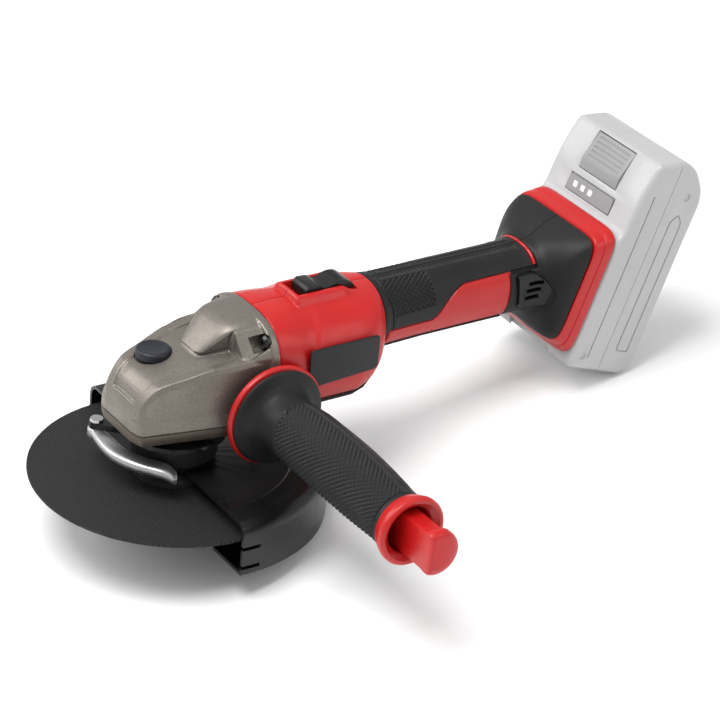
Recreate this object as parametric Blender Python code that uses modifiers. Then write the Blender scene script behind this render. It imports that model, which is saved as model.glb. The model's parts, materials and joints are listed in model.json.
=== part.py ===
"""Cordless angle grinder: gear head, motor housing with grip and foot, wheel guard, side handle and battery.

Design frame, in millimetres: the spindle's axis is Z and the disc's mid-plane is z = 0, +X runs back to the
battery and -Y towards the side handle. The stance empty then pitches the whole tool back until the guard's
rear edge and the battery's lower edge stand on the floor, with the origin under the middle of its box.
"""

import math

import bmesh
import bpy
from mathutils import Matrix, Vector

MM = 0.001
GAP = 0.3  # between two solids that touch
SEAM = 0.15  # from the middle plane to each half of the housing
TAU = 2 * math.pi

# Wheel and spindle
DISC_R, DISC_HALF = 75.0, 0.8
FLANGE_R, FLANGE_TOP = 22.0, 6.5
NUT_R, NUT_BOTTOM = 20.0, -8.0
THREAD_R, SPINDLE_BOTTOM, SPINDLE_TOP = 6.8, -13.0, 60.5
NECK_R, NECK_BOTTOM = 17.5, 14.0

# Bevel gears: both pitch cones meet at (0, 0, MOTOR_Z)
MOTOR_Z = 61.0
PINION_TEETH, CROWN_TEETH = 10, 32
CROWN_R = 20.0  # pitch radius at the outer end of the teeth
FACE = 5.5  # length of a tooth
LOCK_R, LOCK_HOLES = 11.5, 4  # the lock pin meets holes on this circle
LOCK_ANGLE = math.radians(136.2)

# Gear case, and the screws that hold it
CASE_BOTTOM, COVER_BOTTOM = 37.6, 31.5
CASE_REAR, CASE_FLANGE = 41.0, 37.0
BRACKET_REAR = 44.0
SCREW_SEAT = 37.3  # the case screws' heads bear here, facing forward
UPPER_SCREW, LOWER_SCREW = (23.3, 77.6), (26.8, 57.0)
COVER_SCREWS = ((-26.0, 15.5), (-26.0, -15.5), (22.0, 25.0), (22.0, -25.0))
BUTTON_X, BUTTON_Y, BUTTON_R, BUTTON_TOP = -9.8, 9.4, 9.3, 69.3
BUTTON_WELL = 62.6

# Guard
GUARD_R, GUARD_TOP, GUARD_BOTTOM = 80.5, 11.3, -17.7
GUARD_SHEET, GUARD_FRONT, GUARD_SKEW = 1.8, -5.0, math.radians(-1.04)
GUARD_LIP_R = 52.0
LEVER_PIVOT = (-31.0, 26.0)

# Side handle, along -Y
HANDLE_X, HANDLE_Z = 35.0, 43.5
HANDLE_FACE = -33.8
HANDLE_END = -163.0

# Motor
STATOR_R, STATOR_FRONT, STATOR_REAR = 22.5, 58.0, 88.0

# Battery interface: its top middle point, and its lean towards the rear
SEAT_X, SEAT_Z, SEAT_LEAN = 250.3, 99.7, 0.343
BATTERY_HALF, BATTERY_TOP, BATTERY_BOTTOM, BATTERY_REAR = 36.8, 46.3, -79.5, 48.5

# Outer skin of the body, front to back: x, z of the middle, lean in degrees, half width, half height, and
# squareness below and above the middle
SKIN = [
    (41.4, 61.0, 0, 31.7, 26.4, 3.6, 2.8),
    (52.0, 60.8, 0, 32.6, 26.8, 3.6, 2.5),
    (62.0, 60.8, 0, 33.0, 26.8, 3.6, 2.2),
    (90.0, 60.8, 0, 33.0, 26.8, 3.6, 2.2),
    (98.0, 61.4, 0, 32.0, 26.0, 3.3, 2.2),
    (105.0, 63.0, 0, 29.0, 24.2, 3.0, 2.2),
    (109.5, 64.6, 0, 25.0, 22.4, 2.7, 2.2),
    (112.0, 65.6, 0, 21.6, 21.4, 2.5, 2.2),
    (118.0, 67.2, 0, 18.4, 19.7, 2.2, 2.2),
    (144.0, 67.5, 0, 18.0, 19.4, 2.2, 2.2),
    (165.0, 67.5, 0, 18.0, 19.4, 2.2, 2.2),
    (191.0, 67.5, 0, 18.2, 19.4, 2.2, 2.2),
    (205.0, 67.5, 0, 18.8, 19.6, 2.2, 2.2),
    (211.0, 67.8, 3, 20.2, 20.2, 2.5, 2.5),
    (213.5, 67.9, 7, 25.0, 22.4, 3.2, 3.2),
    (217.0, 68.0, 12, 28.6, 24.8, 3.8, 3.8),
    (222.0, 68.6, 16.5, 33.2, 28.6, 5.2, 5.2),
    (226.3, 69.0, 19.65, 35.6, 31.0, 7.0, 7.0),
]
WALL = 2.5
OVERMOULD = 2.2  # depth of the soft skin's recess in the shell
GRIP_FRONT, GRIP_REAR, FOOT_SIDE = 112.0, 209.4, 195.0
# Lower edge of the soft grip along x, as an angle above the side's middle line
GRIP_EDGE = [(112.0, -12), (144.0, -12), (149.0, -2), (154.5, 14), (160.5, 28), (166.0, 35), (211.0, 37)]
TRIM_EDGE = -51

LEFT, RIGHT = -1, 1  # the sides of the middle plane, along Y

for leftover in list(bpy.data.objects):
    bpy.data.objects.remove(leftover)

parts = bpy.data.collections.new("angle_grinder")
cutters = bpy.data.collections.new("cutters")
cutters.hide_render = True
for collection in (parts, cutters):
    bpy.context.scene.collection.children.link(collection)


def empty(name, at=(0, 0, 0), turn=(0, 0, 0), parent=None):
    obj = bpy.data.objects.new(name, None)
    parts.objects.link(obj)
    obj.location = Vector(at) * MM
    obj.rotation_euler = turn
    obj.parent = parent
    return obj


def principled(name, colour, roughness, metallic=0.0):
    material = bpy.data.materials.new(name)
    material.use_nodes = True
    shader = material.node_tree.nodes["Principled BSDF"]
    shader.inputs["Base Color"].default_value = (*colour, 1)
    shader.inputs["Roughness"].default_value = roughness
    shader.inputs["Metallic"].default_value = metallic
    return material


red_plastic = principled("red_plastic", (0.72, 0.03, 0.025), 0.35)
black_rubber = principled("black_rubber", (0.025, 0.026, 0.028), 0.65)
black_plastic = principled("black_plastic", (0.02, 0.02, 0.022), 0.4)
black_steel = principled("black_steel", (0.03, 0.03, 0.032), 0.4, 0.6)
cast_bronze_grey = principled("cast_bronze_grey", (0.34, 0.30, 0.26), 0.45, 0.7)
bright_steel = principled("bright_steel", (0.62, 0.62, 0.62), 0.25, 1.0)
dark_steel = principled("dark_steel", (0.12, 0.12, 0.13), 0.35, 0.9)
copper_winding = principled("copper_winding", (0.55, 0.25, 0.12), 0.4, 0.6)
abrasive = principled("abrasive", (0.035, 0.033, 0.032), 0.9)
blue_black_plastic = principled("blue_black_plastic", (0.03, 0.032, 0.045), 0.35)
pale_grey_plastic = principled("pale_grey_plastic", (0.5, 0.5, 0.51), 0.4)
grey_plastic = principled("grey_plastic", (0.36, 0.36, 0.37), 0.45)
cell_blue = principled("cell_blue", (0.1, 0.2, 0.4), 0.5)

stance = empty("stance")
seat = empty("battery_seat", (SEAT_X, 0, SEAT_Z), (0, SEAT_LEAN, 0), stance)

ALONG_X = (0, math.pi / 2, 0)
ALONG_MINUS_Y = (math.pi / 2, 0, 0)


def place(name, mesh, material, at=(0, 0, 0), turn=(0, 0, 0), parent=stance, collection=parts):
    """Makes an object of a mesh in millimetres."""
    mesh.name = name
    mesh.transform(Matrix.Scale(MM, 4))
    mesh.shade_smooth()
    mesh.set_sharp_from_angle(angle=math.radians(35))
    if material:
        mesh.materials.append(material)
    obj = bpy.data.objects.new(name, mesh)
    collection.objects.link(obj)
    obj.location = Vector(at) * MM
    obj.rotation_euler = turn
    obj.parent = parent
    return obj


def to_mesh(bm):
    bmesh.ops.recalc_face_normals(bm, faces=bm.faces)
    mesh = bpy.data.meshes.new("mesh")
    bm.to_mesh(mesh)
    bm.free()
    return mesh


def box(low, high):
    bm = bmesh.new()
    bmesh.ops.create_cube(bm, size=1)
    low, high = Vector(low), Vector(high)
    bmesh.ops.transform(bm, matrix=Matrix.LocRotScale((low + high) / 2, None, high - low), verts=bm.verts)
    return to_mesh(bm)


def rod(radius, low, high, sides=24, tip=None, turn=None):
    """A cylinder or cone along Z, from low to high. tip is the radius at the high end."""
    bm = bmesh.new()
    top = radius if tip is None else tip
    bmesh.ops.create_cone(bm, cap_ends=True, segments=sides, radius1=radius, radius2=top, depth=high - low)
    bmesh.ops.translate(bm, verts=bm.verts, vec=(0, 0, (low + high) / 2))
    if turn:
        bmesh.ops.rotate(bm, verts=bm.verts, matrix=Matrix.Rotation(turn, 3, "Z"))
    return to_mesh(bm)


def loft(rings):
    """A closed solid through rings of the same number of points."""
    bm = bmesh.new()
    loops = [[bm.verts.new(point) for point in ring] for ring in rings]
    for one, two in zip(loops, loops[1:]):
        for i in range(len(one)):
            j = (i + 1) % len(one)
            bm.faces.new((one[i], one[j], two[j], two[i]))
    bmesh.ops.triangulate(bm, faces=bm.faces)
    bm.faces.new(loops[0])
    bm.faces.new(loops[-1])
    return to_mesh(bm)


def prism(outline, low, high):
    """An outline in XY, from z = low to high."""
    return loft([[(x, y, z) for x, y in outline] for z in (low, high)])


def turned(name, profile, material, steps=32, closed=False, at=(0, 0, 0), turn=(0, 0, 0), collection=parts):
    """A turned piece from a profile of (radius, height), down its outer side."""
    bm = bmesh.new()
    points = [bm.verts.new((radius, 0, height)) for radius, height in profile]
    for one, two in zip(points, points[1:]):
        bm.edges.new((one, two))
    if closed:
        bm.edges.new((points[-1], points[0]))
    mesh = bpy.data.meshes.new("mesh")
    bm.to_mesh(mesh)
    bm.free()
    obj = place(name, mesh, material, at, turn, collection=collection)
    screw = obj.modifiers.new("turn", "SCREW")
    screw.steps = screw.render_steps = steps
    screw.use_merge_vertices = True
    screw.merge_threshold = 0.00001
    screw.use_smooth_shade = True
    return obj


def ring(name, inner, outer, low, high, material, steps=32, **where):
    profile = [(outer, high), (outer, low), (inner, low), (inner, high)]
    return turned(name, profile, material, steps, closed=True, **where)


def combine(obj, mesh, operation, at=(0, 0, 0), turn=(0, 0, 0), parent=stance):
    """Cuts a mesh in millimetres from an object, or joins it on."""
    count = len(cutters.objects)
    tool = place(f"cutter_{count}", mesh, None, at, turn, parent, cutters)
    tool.hide_render = True
    tool.display_type = "WIRE"
    boolean = obj.modifiers.new("boolean", "BOOLEAN")
    boolean.operation = operation
    boolean.object = tool
    return obj


def cut(obj, mesh, **where):
    return combine(obj, mesh, "DIFFERENCE", **where)


def join(obj, mesh, **where):
    return combine(obj, mesh, "UNION", **where)


def soften(obj, width, segments=1, angle=40):
    bevel = obj.modifiers.new("edges", "BEVEL")
    bevel.width = width * MM
    bevel.segments = segments
    bevel.limit_method = "ANGLE"
    bevel.angle_limit = math.radians(angle)
    return obj


def superellipse(half_width, half_height, squareness, count, top=None):
    """Points of a rounded rectangle, centred on the origin. top is the squareness of its upper half."""
    points = []
    for step in range(count):
        c, s = math.cos(TAU * step / count), math.sin(TAU * step / count)
        power = 2 / (top if top and s > 0 else squareness)
        points.append((half_width * math.copysign(abs(c) ** power, c),
                       half_height * math.copysign(abs(s) ** power, s)))
    return points


def between(table, x):
    """Straight-line value of a table of (x, value)."""
    for (x0, v0), (x1, v1) in zip(table, table[1:]):
        if x <= x1:
            return v0 + (v1 - v0) * max(0, x - x0) / (x1 - x0)
    return table[-1][1]


def station(x):
    """The skin's section at x, between the two stations beside it."""
    return [x] + [between([(row[0], row[k]) for row in SKIN], x) for k in range(1, 7)]


def skin_point(x, angle, inset, side):
    """A point on the body: angle 90 is the top seam, 0 the side and -90 the bottom."""
    _, z, lean, half_width, half_height, squareness, top = station(x)
    angle, lean = math.radians(angle), math.radians(lean)
    c, s = math.cos(angle), math.sin(angle)
    power = 2 / (top if s > 0 else squareness)
    across = (half_width - inset) * max(0, c) ** power
    up = (half_height - inset) * math.copysign(abs(s) ** power, s)
    return Vector((x + up * math.sin(lean), side * (across + SEAM), z + up * math.cos(lean)))


def skin_patch(stations, side, steps):
    """A curved slab on the body. Each station is x, its two end angles, and its outer and inner insets."""
    rings = []
    for x, top, bottom, outer, inner in stations:
        angles = [top + (bottom - top) * k / steps for k in range(steps + 1)]
        outside = [skin_point(x, angle, outer, side) for angle in angles]
        inside = [skin_point(x, angle, inner, side) for angle in reversed(angles)]
        rings.append(outside + inside)
    return loft(rings)


# ---------------------------------------------------------------- housing

def housing_half(name, side):
    """One clamshell: motor barrel, grip core and foot core, with the red lands that stay uncovered."""
    rows = [(x, 90, -90, 0, WALL) for x in (41.4, 52, 62, 90, 98, 105, 109.5, GRIP_FRONT - 0.1)]
    rows += [(x, 90, -90, OVERMOULD, OVERMOULD + WALL) for x in (GRIP_FRONT + 0.1, 118, 144, 191, 205, 211, 213.5, 217,
                                                                222, 226.0)]
    half = place(name, skin_patch(rows, side, 12), red_plastic)
    panel = [(x, between(GRIP_EDGE, x) - 2, TRIM_EDGE + 3, 0, 3.2)
             for x in (118.5, 144, 149, 154.5, 160.5, 166, FOOT_SIDE - GAP)]
    join(half, skin_patch(panel, side, 5))
    join(half, skin_patch([(x, 90, 38, 0.2, 3.2) for x in (GRIP_REAR, GRIP_REAR + 1.2)], side, 5))
    for across, up in (UPPER_SCREW, LOWER_SCREW):
        centre = (0, side * across, up)
        join(half, rod(3.5, 44.6, 55.0, 12), at=centre, turn=ALONG_X)
        cut(half, rod(2.3, 40.0, 54.0, 8), at=centre, turn=ALONG_X)
    surround = [(61.0, 14.5, 83.5), (98.5, 14.5, 83.5), (91.0, 9.3, 90.8), (63.6, 9.3, 91.0)]
    base_front, base_rear, top_rear, top_front = surround
    rings = []
    for (x, across, z), (top_x, top_across, top_z) in ((base_front, top_front), (base_rear, top_rear)):
        rings.append([(x, side * SEAM, z), (x, side * across, z), (top_x, side * top_across, top_z),
                      (top_x, side * SEAM, top_z)])
    join(half, loft(rings))
    cut(half, box((64.4, -7.5, 80.0), (101.0, 7.5, 95.0)))
    return half


def grip_overmould(name, side):
    rows = [(x, 90, between(GRIP_EDGE, x), 0, OVERMOULD - GAP)
            for x in (GRIP_FRONT + 0.3, 115, 118, 144, 149, 154.5, 160.5, 166, 191, 205, GRIP_REAR - GAP)]
    return place(name, skin_patch(rows, side, 7), black_rubber)


def foot_overmould(name, side):
    """The soft skin of the flared foot, with a tongue that reaches forward below the grip's edge."""
    rows = [(x, 90, -90, 0, OVERMOULD - GAP) for x in (GRIP_REAR + 1.6, 213.5, 217, 222, 225.7)]
    foot = place(name, skin_patch(rows, side, 12), black_rubber)
    tongue = [(x, 30, -90, 0.02, OVERMOULD - GAP - 0.02) for x in (FOOT_SIDE, 205, 211, 212)]
    join(foot, skin_patch(tongue, side, 8))
    cut(foot, vent_outline(side, 0.0, 60.0))
    return foot


def vent_outline(side, shrink, reach):
    """The six-sided outline of the vent cover, as a bar across the side of the foot."""
    corners = [(198, 77), (208, 78.5), (214.5, 73), (217.5, 68), (215, 58.5), (200, 58)]
    middle = (sum(x for x, _ in corners) / 6, sum(z for _, z in corners) / 6)
    rings = []
    for y in (8, reach):
        rings.append([(x + (middle[0] - x) * shrink, side * y, z + (middle[1] - z) * shrink) for x, z in corners])
    return loft(rings)


def vent_cover(name, side):
    """A slotted cover that fills the opening in the foot's soft skin."""
    rows = [(x, 45, -45, 0.4, OVERMOULD - GAP) for x in (196.0, 205, 211, 213.5, 217, 220)]
    cover = place(name, skin_patch(rows, side, 6), black_plastic)
    combine(cover, vent_outline(side, 0.035, 60.0), "INTERSECT")
    for k in range(3):
        middle = Vector((209 - 1.3 * k, side * 25, 73 - 4.6 * k))
        slot = box((-5.6, -20, -0.9), (5.6, 20, 0.9))
        cut(cover, slot, at=middle, turn=(0, math.radians(-8), 0))
    return cover


for side, hand in ((LEFT, "left"), (RIGHT, "right")):
    housing_half(f"housing_{hand}", side)
    grip_overmould(f"grip_overmould_{hand}", side)
    foot_overmould(f"foot_overmould_{hand}", side)
    vent_cover(f"vent_cover_{hand}", side)


def underside_trim():
    """The soft strip under the barrel and the grip, across both halves."""
    rows = [(x, -1.7, -GAP) for x in (43, 52, 62, 90, 98, 105, 109.5, 112.3)]
    rows += [(x, -0.8, OVERMOULD - GAP) for x in (113.3, 118, 144, 191, FOOT_SIDE - 1)]
    rings = []
    for x, outer, inner in rows:
        angles = [TRIM_EDGE + (-90 - TRIM_EDGE) * k / 4 for k in range(5)]
        outline = []
        for inset, order in ((outer, 1), (inner, -1)):
            left = [skin_point(x, angle, inset, LEFT) for angle in angles]
            right = [skin_point(x, angle, inset, RIGHT) for angle in reversed(angles[:-1])]
            left[-1].y = 0
            outline += (left + right)[::order]
        rings.append(outline)
    return place("underside_trim", loft(rings), black_rubber)


underside_trim()


def name_plate():
    """A blank rounded plate on the barrel's near side."""
    outline = [(57.5, 52.2), (60.0, 50.3), (98.5, 52.4), (100.3, 54.4), (98.5, 71.0), (96.5, 72.8), (59.5, 72.8),
               (57.0, 70.6)]
    return place("name_plate", loft([[(x, y, z) for x, z in outline] for y in (-33.45, -34.3)]), black_plastic)


name_plate()


def battery_collar():
    """The red frame that the battery meets, wider at its rear edge."""
    rings = []
    for w, middle, half_width, half_height in ((-11.9, -36.7, 35.9, 31.4), (-10.9, -36.7, 36.2, 31.9),
                                               (-1.0, -37.0, 36.7, 36.9), (0, -37.0, 36.3, 36.6)):
        rings.append([(w, y, middle + u) for y, u in superellipse(half_width, half_height, 8.0, 32)])
    collar = place("battery_collar", loft(rings), red_plastic, parent=seat)
    hole = [[(w, y, -37.7 + u) for y, u in superellipse(29.0, 26.0, 6, 16)] for w in (-14, 2)]
    cut(collar, loft(hole), parent=seat)
    return collar


battery_collar()


def battery_shoe():
    """Terminal block with the T-rails that the battery slides on."""
    shoe = place("terminal_block", box((-11.0, -17, -62), (8.0, 17, -14)), black_plastic, parent=seat)
    join(shoe, box((4.0, -22, -62), (8.0, 22, -14)), parent=seat)
    join(shoe, box((-11.0, -27.0, -57), (-8.0, 27.0, -19)), parent=seat)
    for y in (-11, -4, 4, 11):
        cut(shoe, box((3.0, y - 1.2, -64), (9.0, y + 1.2, -30)), parent=seat)
    return shoe


battery_shoe()

place("switch_unit", box((122, -8.5, 58.5), (146, 8.5, 76.5)), black_plastic)
place("controller_module", box((150, -8.5, 58.5), (197, 8.5, 76.5)), dark_steel)
for inner_box in ("switch_unit", "controller_module"):
    soften(bpy.data.objects[inner_box], 1.0)


# ---------------------------------------------------------------- slide switch

def switch_slider():
    """The ridged thumb piece, with a foot that goes down through the housing's slot."""
    outline = [(70.0, 86.8), (70.2, 90.8), (71.6, 93.2), (78.4, 92.8), (81.8, 89.9), (84.4, 89.9), (88.6, 93.6),
               (93.0, 93.6), (98.4, 90.4), (100.3, 86.8)]
    slider = place("switch_slider", loft([[(x, y, z) for x, z in outline] for y in (-6.7, 6.7)]), black_plastic)
    for k in range(3):
        x = 88.5 + 1.7 * k
        cut(slider, box((x, -5.6, 93.0), (x + 0.8, 5.6, 96.0)))
    join(slider, box((80.0, -4.0, 85.0), (90.0, 4.0, 88.0)))
    return slider


switch_slider()


def switch_rod():
    """Flat strip from the slider to the switch unit."""
    line = [(80.0, 84.2), (98.8, 84.2), (110.5, 79.6), (131.0, 79.6)]
    rings = [[(x, y, z + dz) for y, dz in ((-3, -0.5), (3, -0.5), (3, 0.5), (-3, 0.5))] for x, z in line]
    strip = place("switch_rod", loft(rings), bright_steel)
    return join(strip, box((128.0, -2.0, 77.2), (130.0, 2.0, 79.6)))


switch_rod()


# ---------------------------------------------------------------- gear head

def case_ring(x, foot, top, panel, panel_z, shoulder, shoulder_z):
    """The head's outline at x: crown, edge of the raised panel, shoulder and rim."""
    half = [(panel * 0.55, top - 0.26 * (top - panel_z)), (panel, panel_z), (shoulder - 1.4, shoulder_z + 1.6),
            (shoulder, shoulder_z - 1.5), (foot - 1.0, CASE_BOTTOM + 7.0), (foot, CASE_BOTTOM)]
    left = [(x, -y, z) for y, z in half]
    right = [(x, y, z) for y, z in reversed(half)]
    return [(x, 0, top)] + left + right


def flange_prism(low, high, inset=0.0):
    """The outline that the head, the bracket and the housing share, along X."""
    outline = superellipse(32.0 - inset, 26.6 - inset, 3.6, 24, top=2.8)
    return loft([[(x, y, MOTOR_Z + z) for y, z in outline] for x in (low, high)])


PIN_AT = (LOCK_R * math.cos(LOCK_ANGLE), LOCK_R * math.sin(LOCK_ANGLE), 0)


def gear_case():
    rows = [(-34.8, 13.0, 43.6, 8.0, 43.1, 12.0, 41.8), (-32.6, 20.2, 51.6, 10.3, 51.0, 17.6, 48.2),
            (-28.0, 21.6, 59.8, 12.7, 58.9, 19.3, 56.0), (-22.0, 22.8, 64.2, 14.1, 63.2, 20.9, 61.4),
            (-10.0, 25.4, 66.8, 17.1, 65.9, 23.6, 64.6), (6.0, 28.6, 70.6, 21.3, 69.8, 27.0, 68.6),
            (20.0, 31.0, 72.6, 21.5, 71.8, 29.4, 70.0), (37.8, 31.6, 73.6, 21.0, 72.8, 30.0, 70.6)]
    case = place("gear_case", loft([case_ring(*row) for row in rows]), cast_bronze_grey)
    join(case, rod(10.3, 3.4, 38.0, 28, tip=28.6), at=(0, 0, MOTOR_Z), turn=ALONG_X)
    cut(case, box((-50.0, -50.0, 20.0), (60.0, 50.0, CASE_BOTTOM)))
    join(case, flange_prism(CASE_FLANGE, CASE_REAR))
    for side in (LEFT, RIGHT):
        pad = box((26.5, 27.0, CASE_BOTTOM + 0.4), (CASE_REAR - 0.5, -HANDLE_FACE, 51.3))
        pad.transform(Matrix.Scale(side, 4, (0, 1, 0)))
        if side < 0:
            pad.flip_normals()
        join(case, pad)
        cut(case, rod(4.6, 26.0, 36.0, 12), at=(HANDLE_X, 0, HANDLE_Z), turn=(-side * math.pi / 2, 0, 0))
        for across, up in (UPPER_SCREW, LOWER_SCREW):
            centre = (0, side * across, up)
            cut(case, rod(2.4, 20.0, 45.0, 8), at=centre, turn=ALONG_X)
            cut(case, rod(4.4, 27.0, SCREW_SEAT, 12), at=centre, turn=ALONG_X)
    cut(case, rod(22.0, 30.0, 58.5, 28))
    cut(case, rod(11.5, 8.0, 45.0, 20), at=(0, 0, MOTOR_Z), turn=ALONG_X)
    cut(case, rod(18.0, 29.5, 45.0, 20), at=(0, 0, MOTOR_Z), turn=ALONG_X)
    cut(case, rod(7.2, 50.0, 61.0, 16))
    cut(case, rod(BUTTON_R + 0.3, BUTTON_WELL, 80.0, 24), at=(BUTTON_X, BUTTON_Y, 0))
    cut(case, rod(2.6, 50.0, BUTTON_WELL + 1, 8), at=PIN_AT)
    for x, y in COVER_SCREWS:
        cut(case, rod(1.9, 36.0, 46.0, 8), at=(x, y, 0))
    return case


gear_case()


def bearing_cover():
    """Closes the gear case from below, holds the spindle bearing and carries the guard on its neck."""
    rows = [(-34.8, 13.0), (-32.4, 20.2), (-28.0, 21.6), (-10.0, 25.4), (6.0, 28.6), (20.0, 31.0), (CASE_FLANGE - 0.4, 31.8)]
    outline = [(x, -y) for x, y in rows] + [(x, y) for x, y in reversed(rows)]
    bottom = [(x * 0.985, y * 0.985) for x, y in outline]
    cover = place("bearing_cover", loft([[(x, y, COVER_BOTTOM) for x, y in bottom],
                                         [(x, y, CASE_BOTTOM - GAP) for x, y in outline]]), cast_bronze_grey)
    join(cover, rod(21.4, 33.0, 43.0, 24))
    join(cover, rod(NECK_R, NECK_BOTTOM, 35.0, 24))
    cut(cover, rod(16.5, 33.0, 50.0, 16))
    cut(cover, rod(8.6, 10.0, 40.0, 16))
    for x, y in COVER_SCREWS:
        cut(cover, rod(1.9, 28.0, 40.0, 8), at=(x, y, 0))
        cut(cover, rod(3.7, 28.0, 33.4, 10), at=(x, y, 0))
    return cover


bearing_cover()


def pan_screw(name, head_r, head, shank_r, length, at, turn, drive=1.4):
    """A pan-head screw along Z, head at the top, with a cross recess."""
    screw = turned(name, [(0, head), (head_r * 0.75, head), (head_r, head * 0.45), (head_r, 0), (shank_r, 0),
                          (shank_r, -length), (0, -length)], black_steel, 10, at=at, turn=turn)
    for across, along in ((drive, 0.35), (0.35, drive)):
        slot = box((-across, -along, head * 0.5), (across, along, head + 1))
        cut(screw, slot, at=at, turn=turn)
    return screw


screw_number = 0
for across, up in (UPPER_SCREW, LOWER_SCREW):
    for side in (LEFT, RIGHT):
        screw_number += 1
        pan_screw(f"gear_case_screw_{screw_number}", 4.0, 3.0, 2.0, 15.5, (SCREW_SEAT - GAP, side * across, up),
                  (0, -math.pi / 2, 0))
for number, (x, y) in enumerate(COVER_SCREWS, 1):
    pan_screw(f"bearing_cover_screw_{number}", 3.2, 1.7, 1.5, 10.0, (x, y, 33.1), (math.pi, 0, 0), 1.1)


def motor_bracket():
    """Black plate inside the housing's front edge, with the front bearing's seat."""
    bracket = place("motor_bracket", flange_prism(CASE_REAR + GAP, BRACKET_REAR, 3.4), black_plastic)
    join(bracket, rod(17.4, 30.0, 43.0, 20), at=(0, 0, MOTOR_Z), turn=ALONG_X)
    cut(bracket, rod(11.5, 28.0, 38.3, 16), at=(0, 0, MOTOR_Z), turn=ALONG_X)
    cut(bracket, rod(8.0, 25.0, 50.0, 12), at=(0, 0, MOTOR_Z), turn=ALONG_X)
    for side in (LEFT, RIGHT):
        for across, up in (UPPER_SCREW, LOWER_SCREW):
            cut(bracket, rod(2.4, 36.0, 50.0, 8), at=(0, side * across, up), turn=ALONG_X)
    return bracket


motor_bracket()


def bearing(name, bore, outer, low, high, at, turn=(0, 0, 0)):
    """A ball bearing as one ring, with a chamfered outer edge."""
    profile = [(outer - 0.6, high), (outer, high - 0.6), (outer, low + 0.6), (outer - 0.6, low), (bore, low),
               (bore, high)]
    return turned(name, profile, bright_steel, 16, closed=True, at=at, turn=turn)


AXLE = (0, 0, MOTOR_Z)
bearing("motor_front_bearing", 4.3, 11.0, 31.0, 38.0, AXLE, ALONG_X)
bearing("motor_rear_bearing", 3.3, 9.5, 92.5, 98.5, AXLE, ALONG_X)
bearing("spindle_bearing", 6.4, 16.0, 33.3, 43.0, (0, 0, 0))
ring("spindle_bush", 4.4, 6.8, 58.4, 60.6, dark_steel, 16)


def rear_bearing_holder():
    """Plate across the barrel behind the motor, with the rear bearing's seat."""
    rings = []
    for x in (94.0, 97.0):
        _, z, _, half_width, half_height, squareness, top = station(x)
        outline = superellipse(half_width - WALL - 0.8, half_height - WALL - 0.8, squareness, 20, top)
        rings.append([(x, y, z + up) for y, up in outline])
    holder = place("rear_bearing_holder", loft(rings), black_plastic)
    join(holder, rod(12.0, 92.3, 100.0, 16), at=AXLE, turn=ALONG_X)
    cut(holder, rod(9.9, 90.0, 98.8, 16), at=AXLE, turn=ALONG_X)
    cut(holder, rod(5.0, 90.0, 105.0, 8), at=AXLE, turn=ALONG_X)
    for angle in (45, 135, 225, 315):
        y, z = 18 * math.cos(math.radians(angle)), 16 * math.sin(math.radians(angle))
        cut(holder, rod(4.0, 90.0, 99.0, 6), at=(0, y, MOTOR_Z + z), turn=ALONG_X)
    cut(holder, box((90.0, -4.0, 81.4), (100.0, 4.0, 90.0)))
    return holder


rear_bearing_holder()


# ---------------------------------------------------------------- motor

def stator():
    """Ring with six pole slots, and the windings' ends standing out at both faces."""
    core = ring("stator", 12.6, STATOR_R, STATOR_FRONT + 4, STATOR_REAR - 4, dark_steel, 20, at=AXLE, turn=ALONG_X)
    for pole in range(6):
        turn = Matrix.Rotation(pole * TAU / 6, 4, "Z")
        coil = box((13.4, -4.2, STATOR_FRONT), (19.5, 4.2, STATOR_REAR))
        coil.transform(turn)
        join(core, coil, at=AXLE, turn=ALONG_X)
    return core


stator()

turned("motor_shaft", [(0, 101.5), (3.0, 101.5), (3.0, 91.0), (4.0, 90.0), (4.0, 28.0), (3.2, 27.5), (3.2, 16.0),
                       (0, 16.0)], bright_steel, 16, at=AXLE, turn=ALONG_X)
ring("rotor_magnet", 4.3, 11.8, 59.0, 87.0, black_steel, 24, at=AXLE, turn=ALONG_X)


def cooling_fan():
    """Back plate, hub and straight blades."""
    fan = turned("cooling_fan", [(9.0, 55.0), (9.0, 49.5), (20.5, 48.5), (20.5, 47.0), (4.3, 47.0), (4.3, 55.0)],
                 black_plastic, 24, closed=True, at=AXLE, turn=ALONG_X)
    for blade in range(9):
        vane = box((8.0, -0.6, 48.0), (20.2, 0.6, 55.0))
        vane.transform(Matrix.Rotation(blade * TAU / 9, 4, "Z"))
        join(fan, vane, at=AXLE, turn=ALONG_X)
    return fan


cooling_fan()


# ---------------------------------------------------------------- bevel gears

CONE = math.atan2(PINION_TEETH, CROWN_TEETH)  # pitch angle of the pinion
MODULE = 2 * CROWN_R / CROWN_TEETH
REACH = CROWN_R / math.cos(CONE)  # from the apex to the outer end of the pitch cones


def stitch(bm, fine, coarse):
    """Joins a toothed ring to a plain one that has one point a tooth."""
    ratio = len(fine) // len(coarse)
    for i, hub in enumerate(coarse):
        for k in range(i * ratio, (i + 1) * ratio):
            last = fine[(k + 1) % len(fine)]
            bm.faces.new((fine[k], last, hub))
        bm.faces.new((last, coarse[(i + 1) % len(coarse)], hub))


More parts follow.
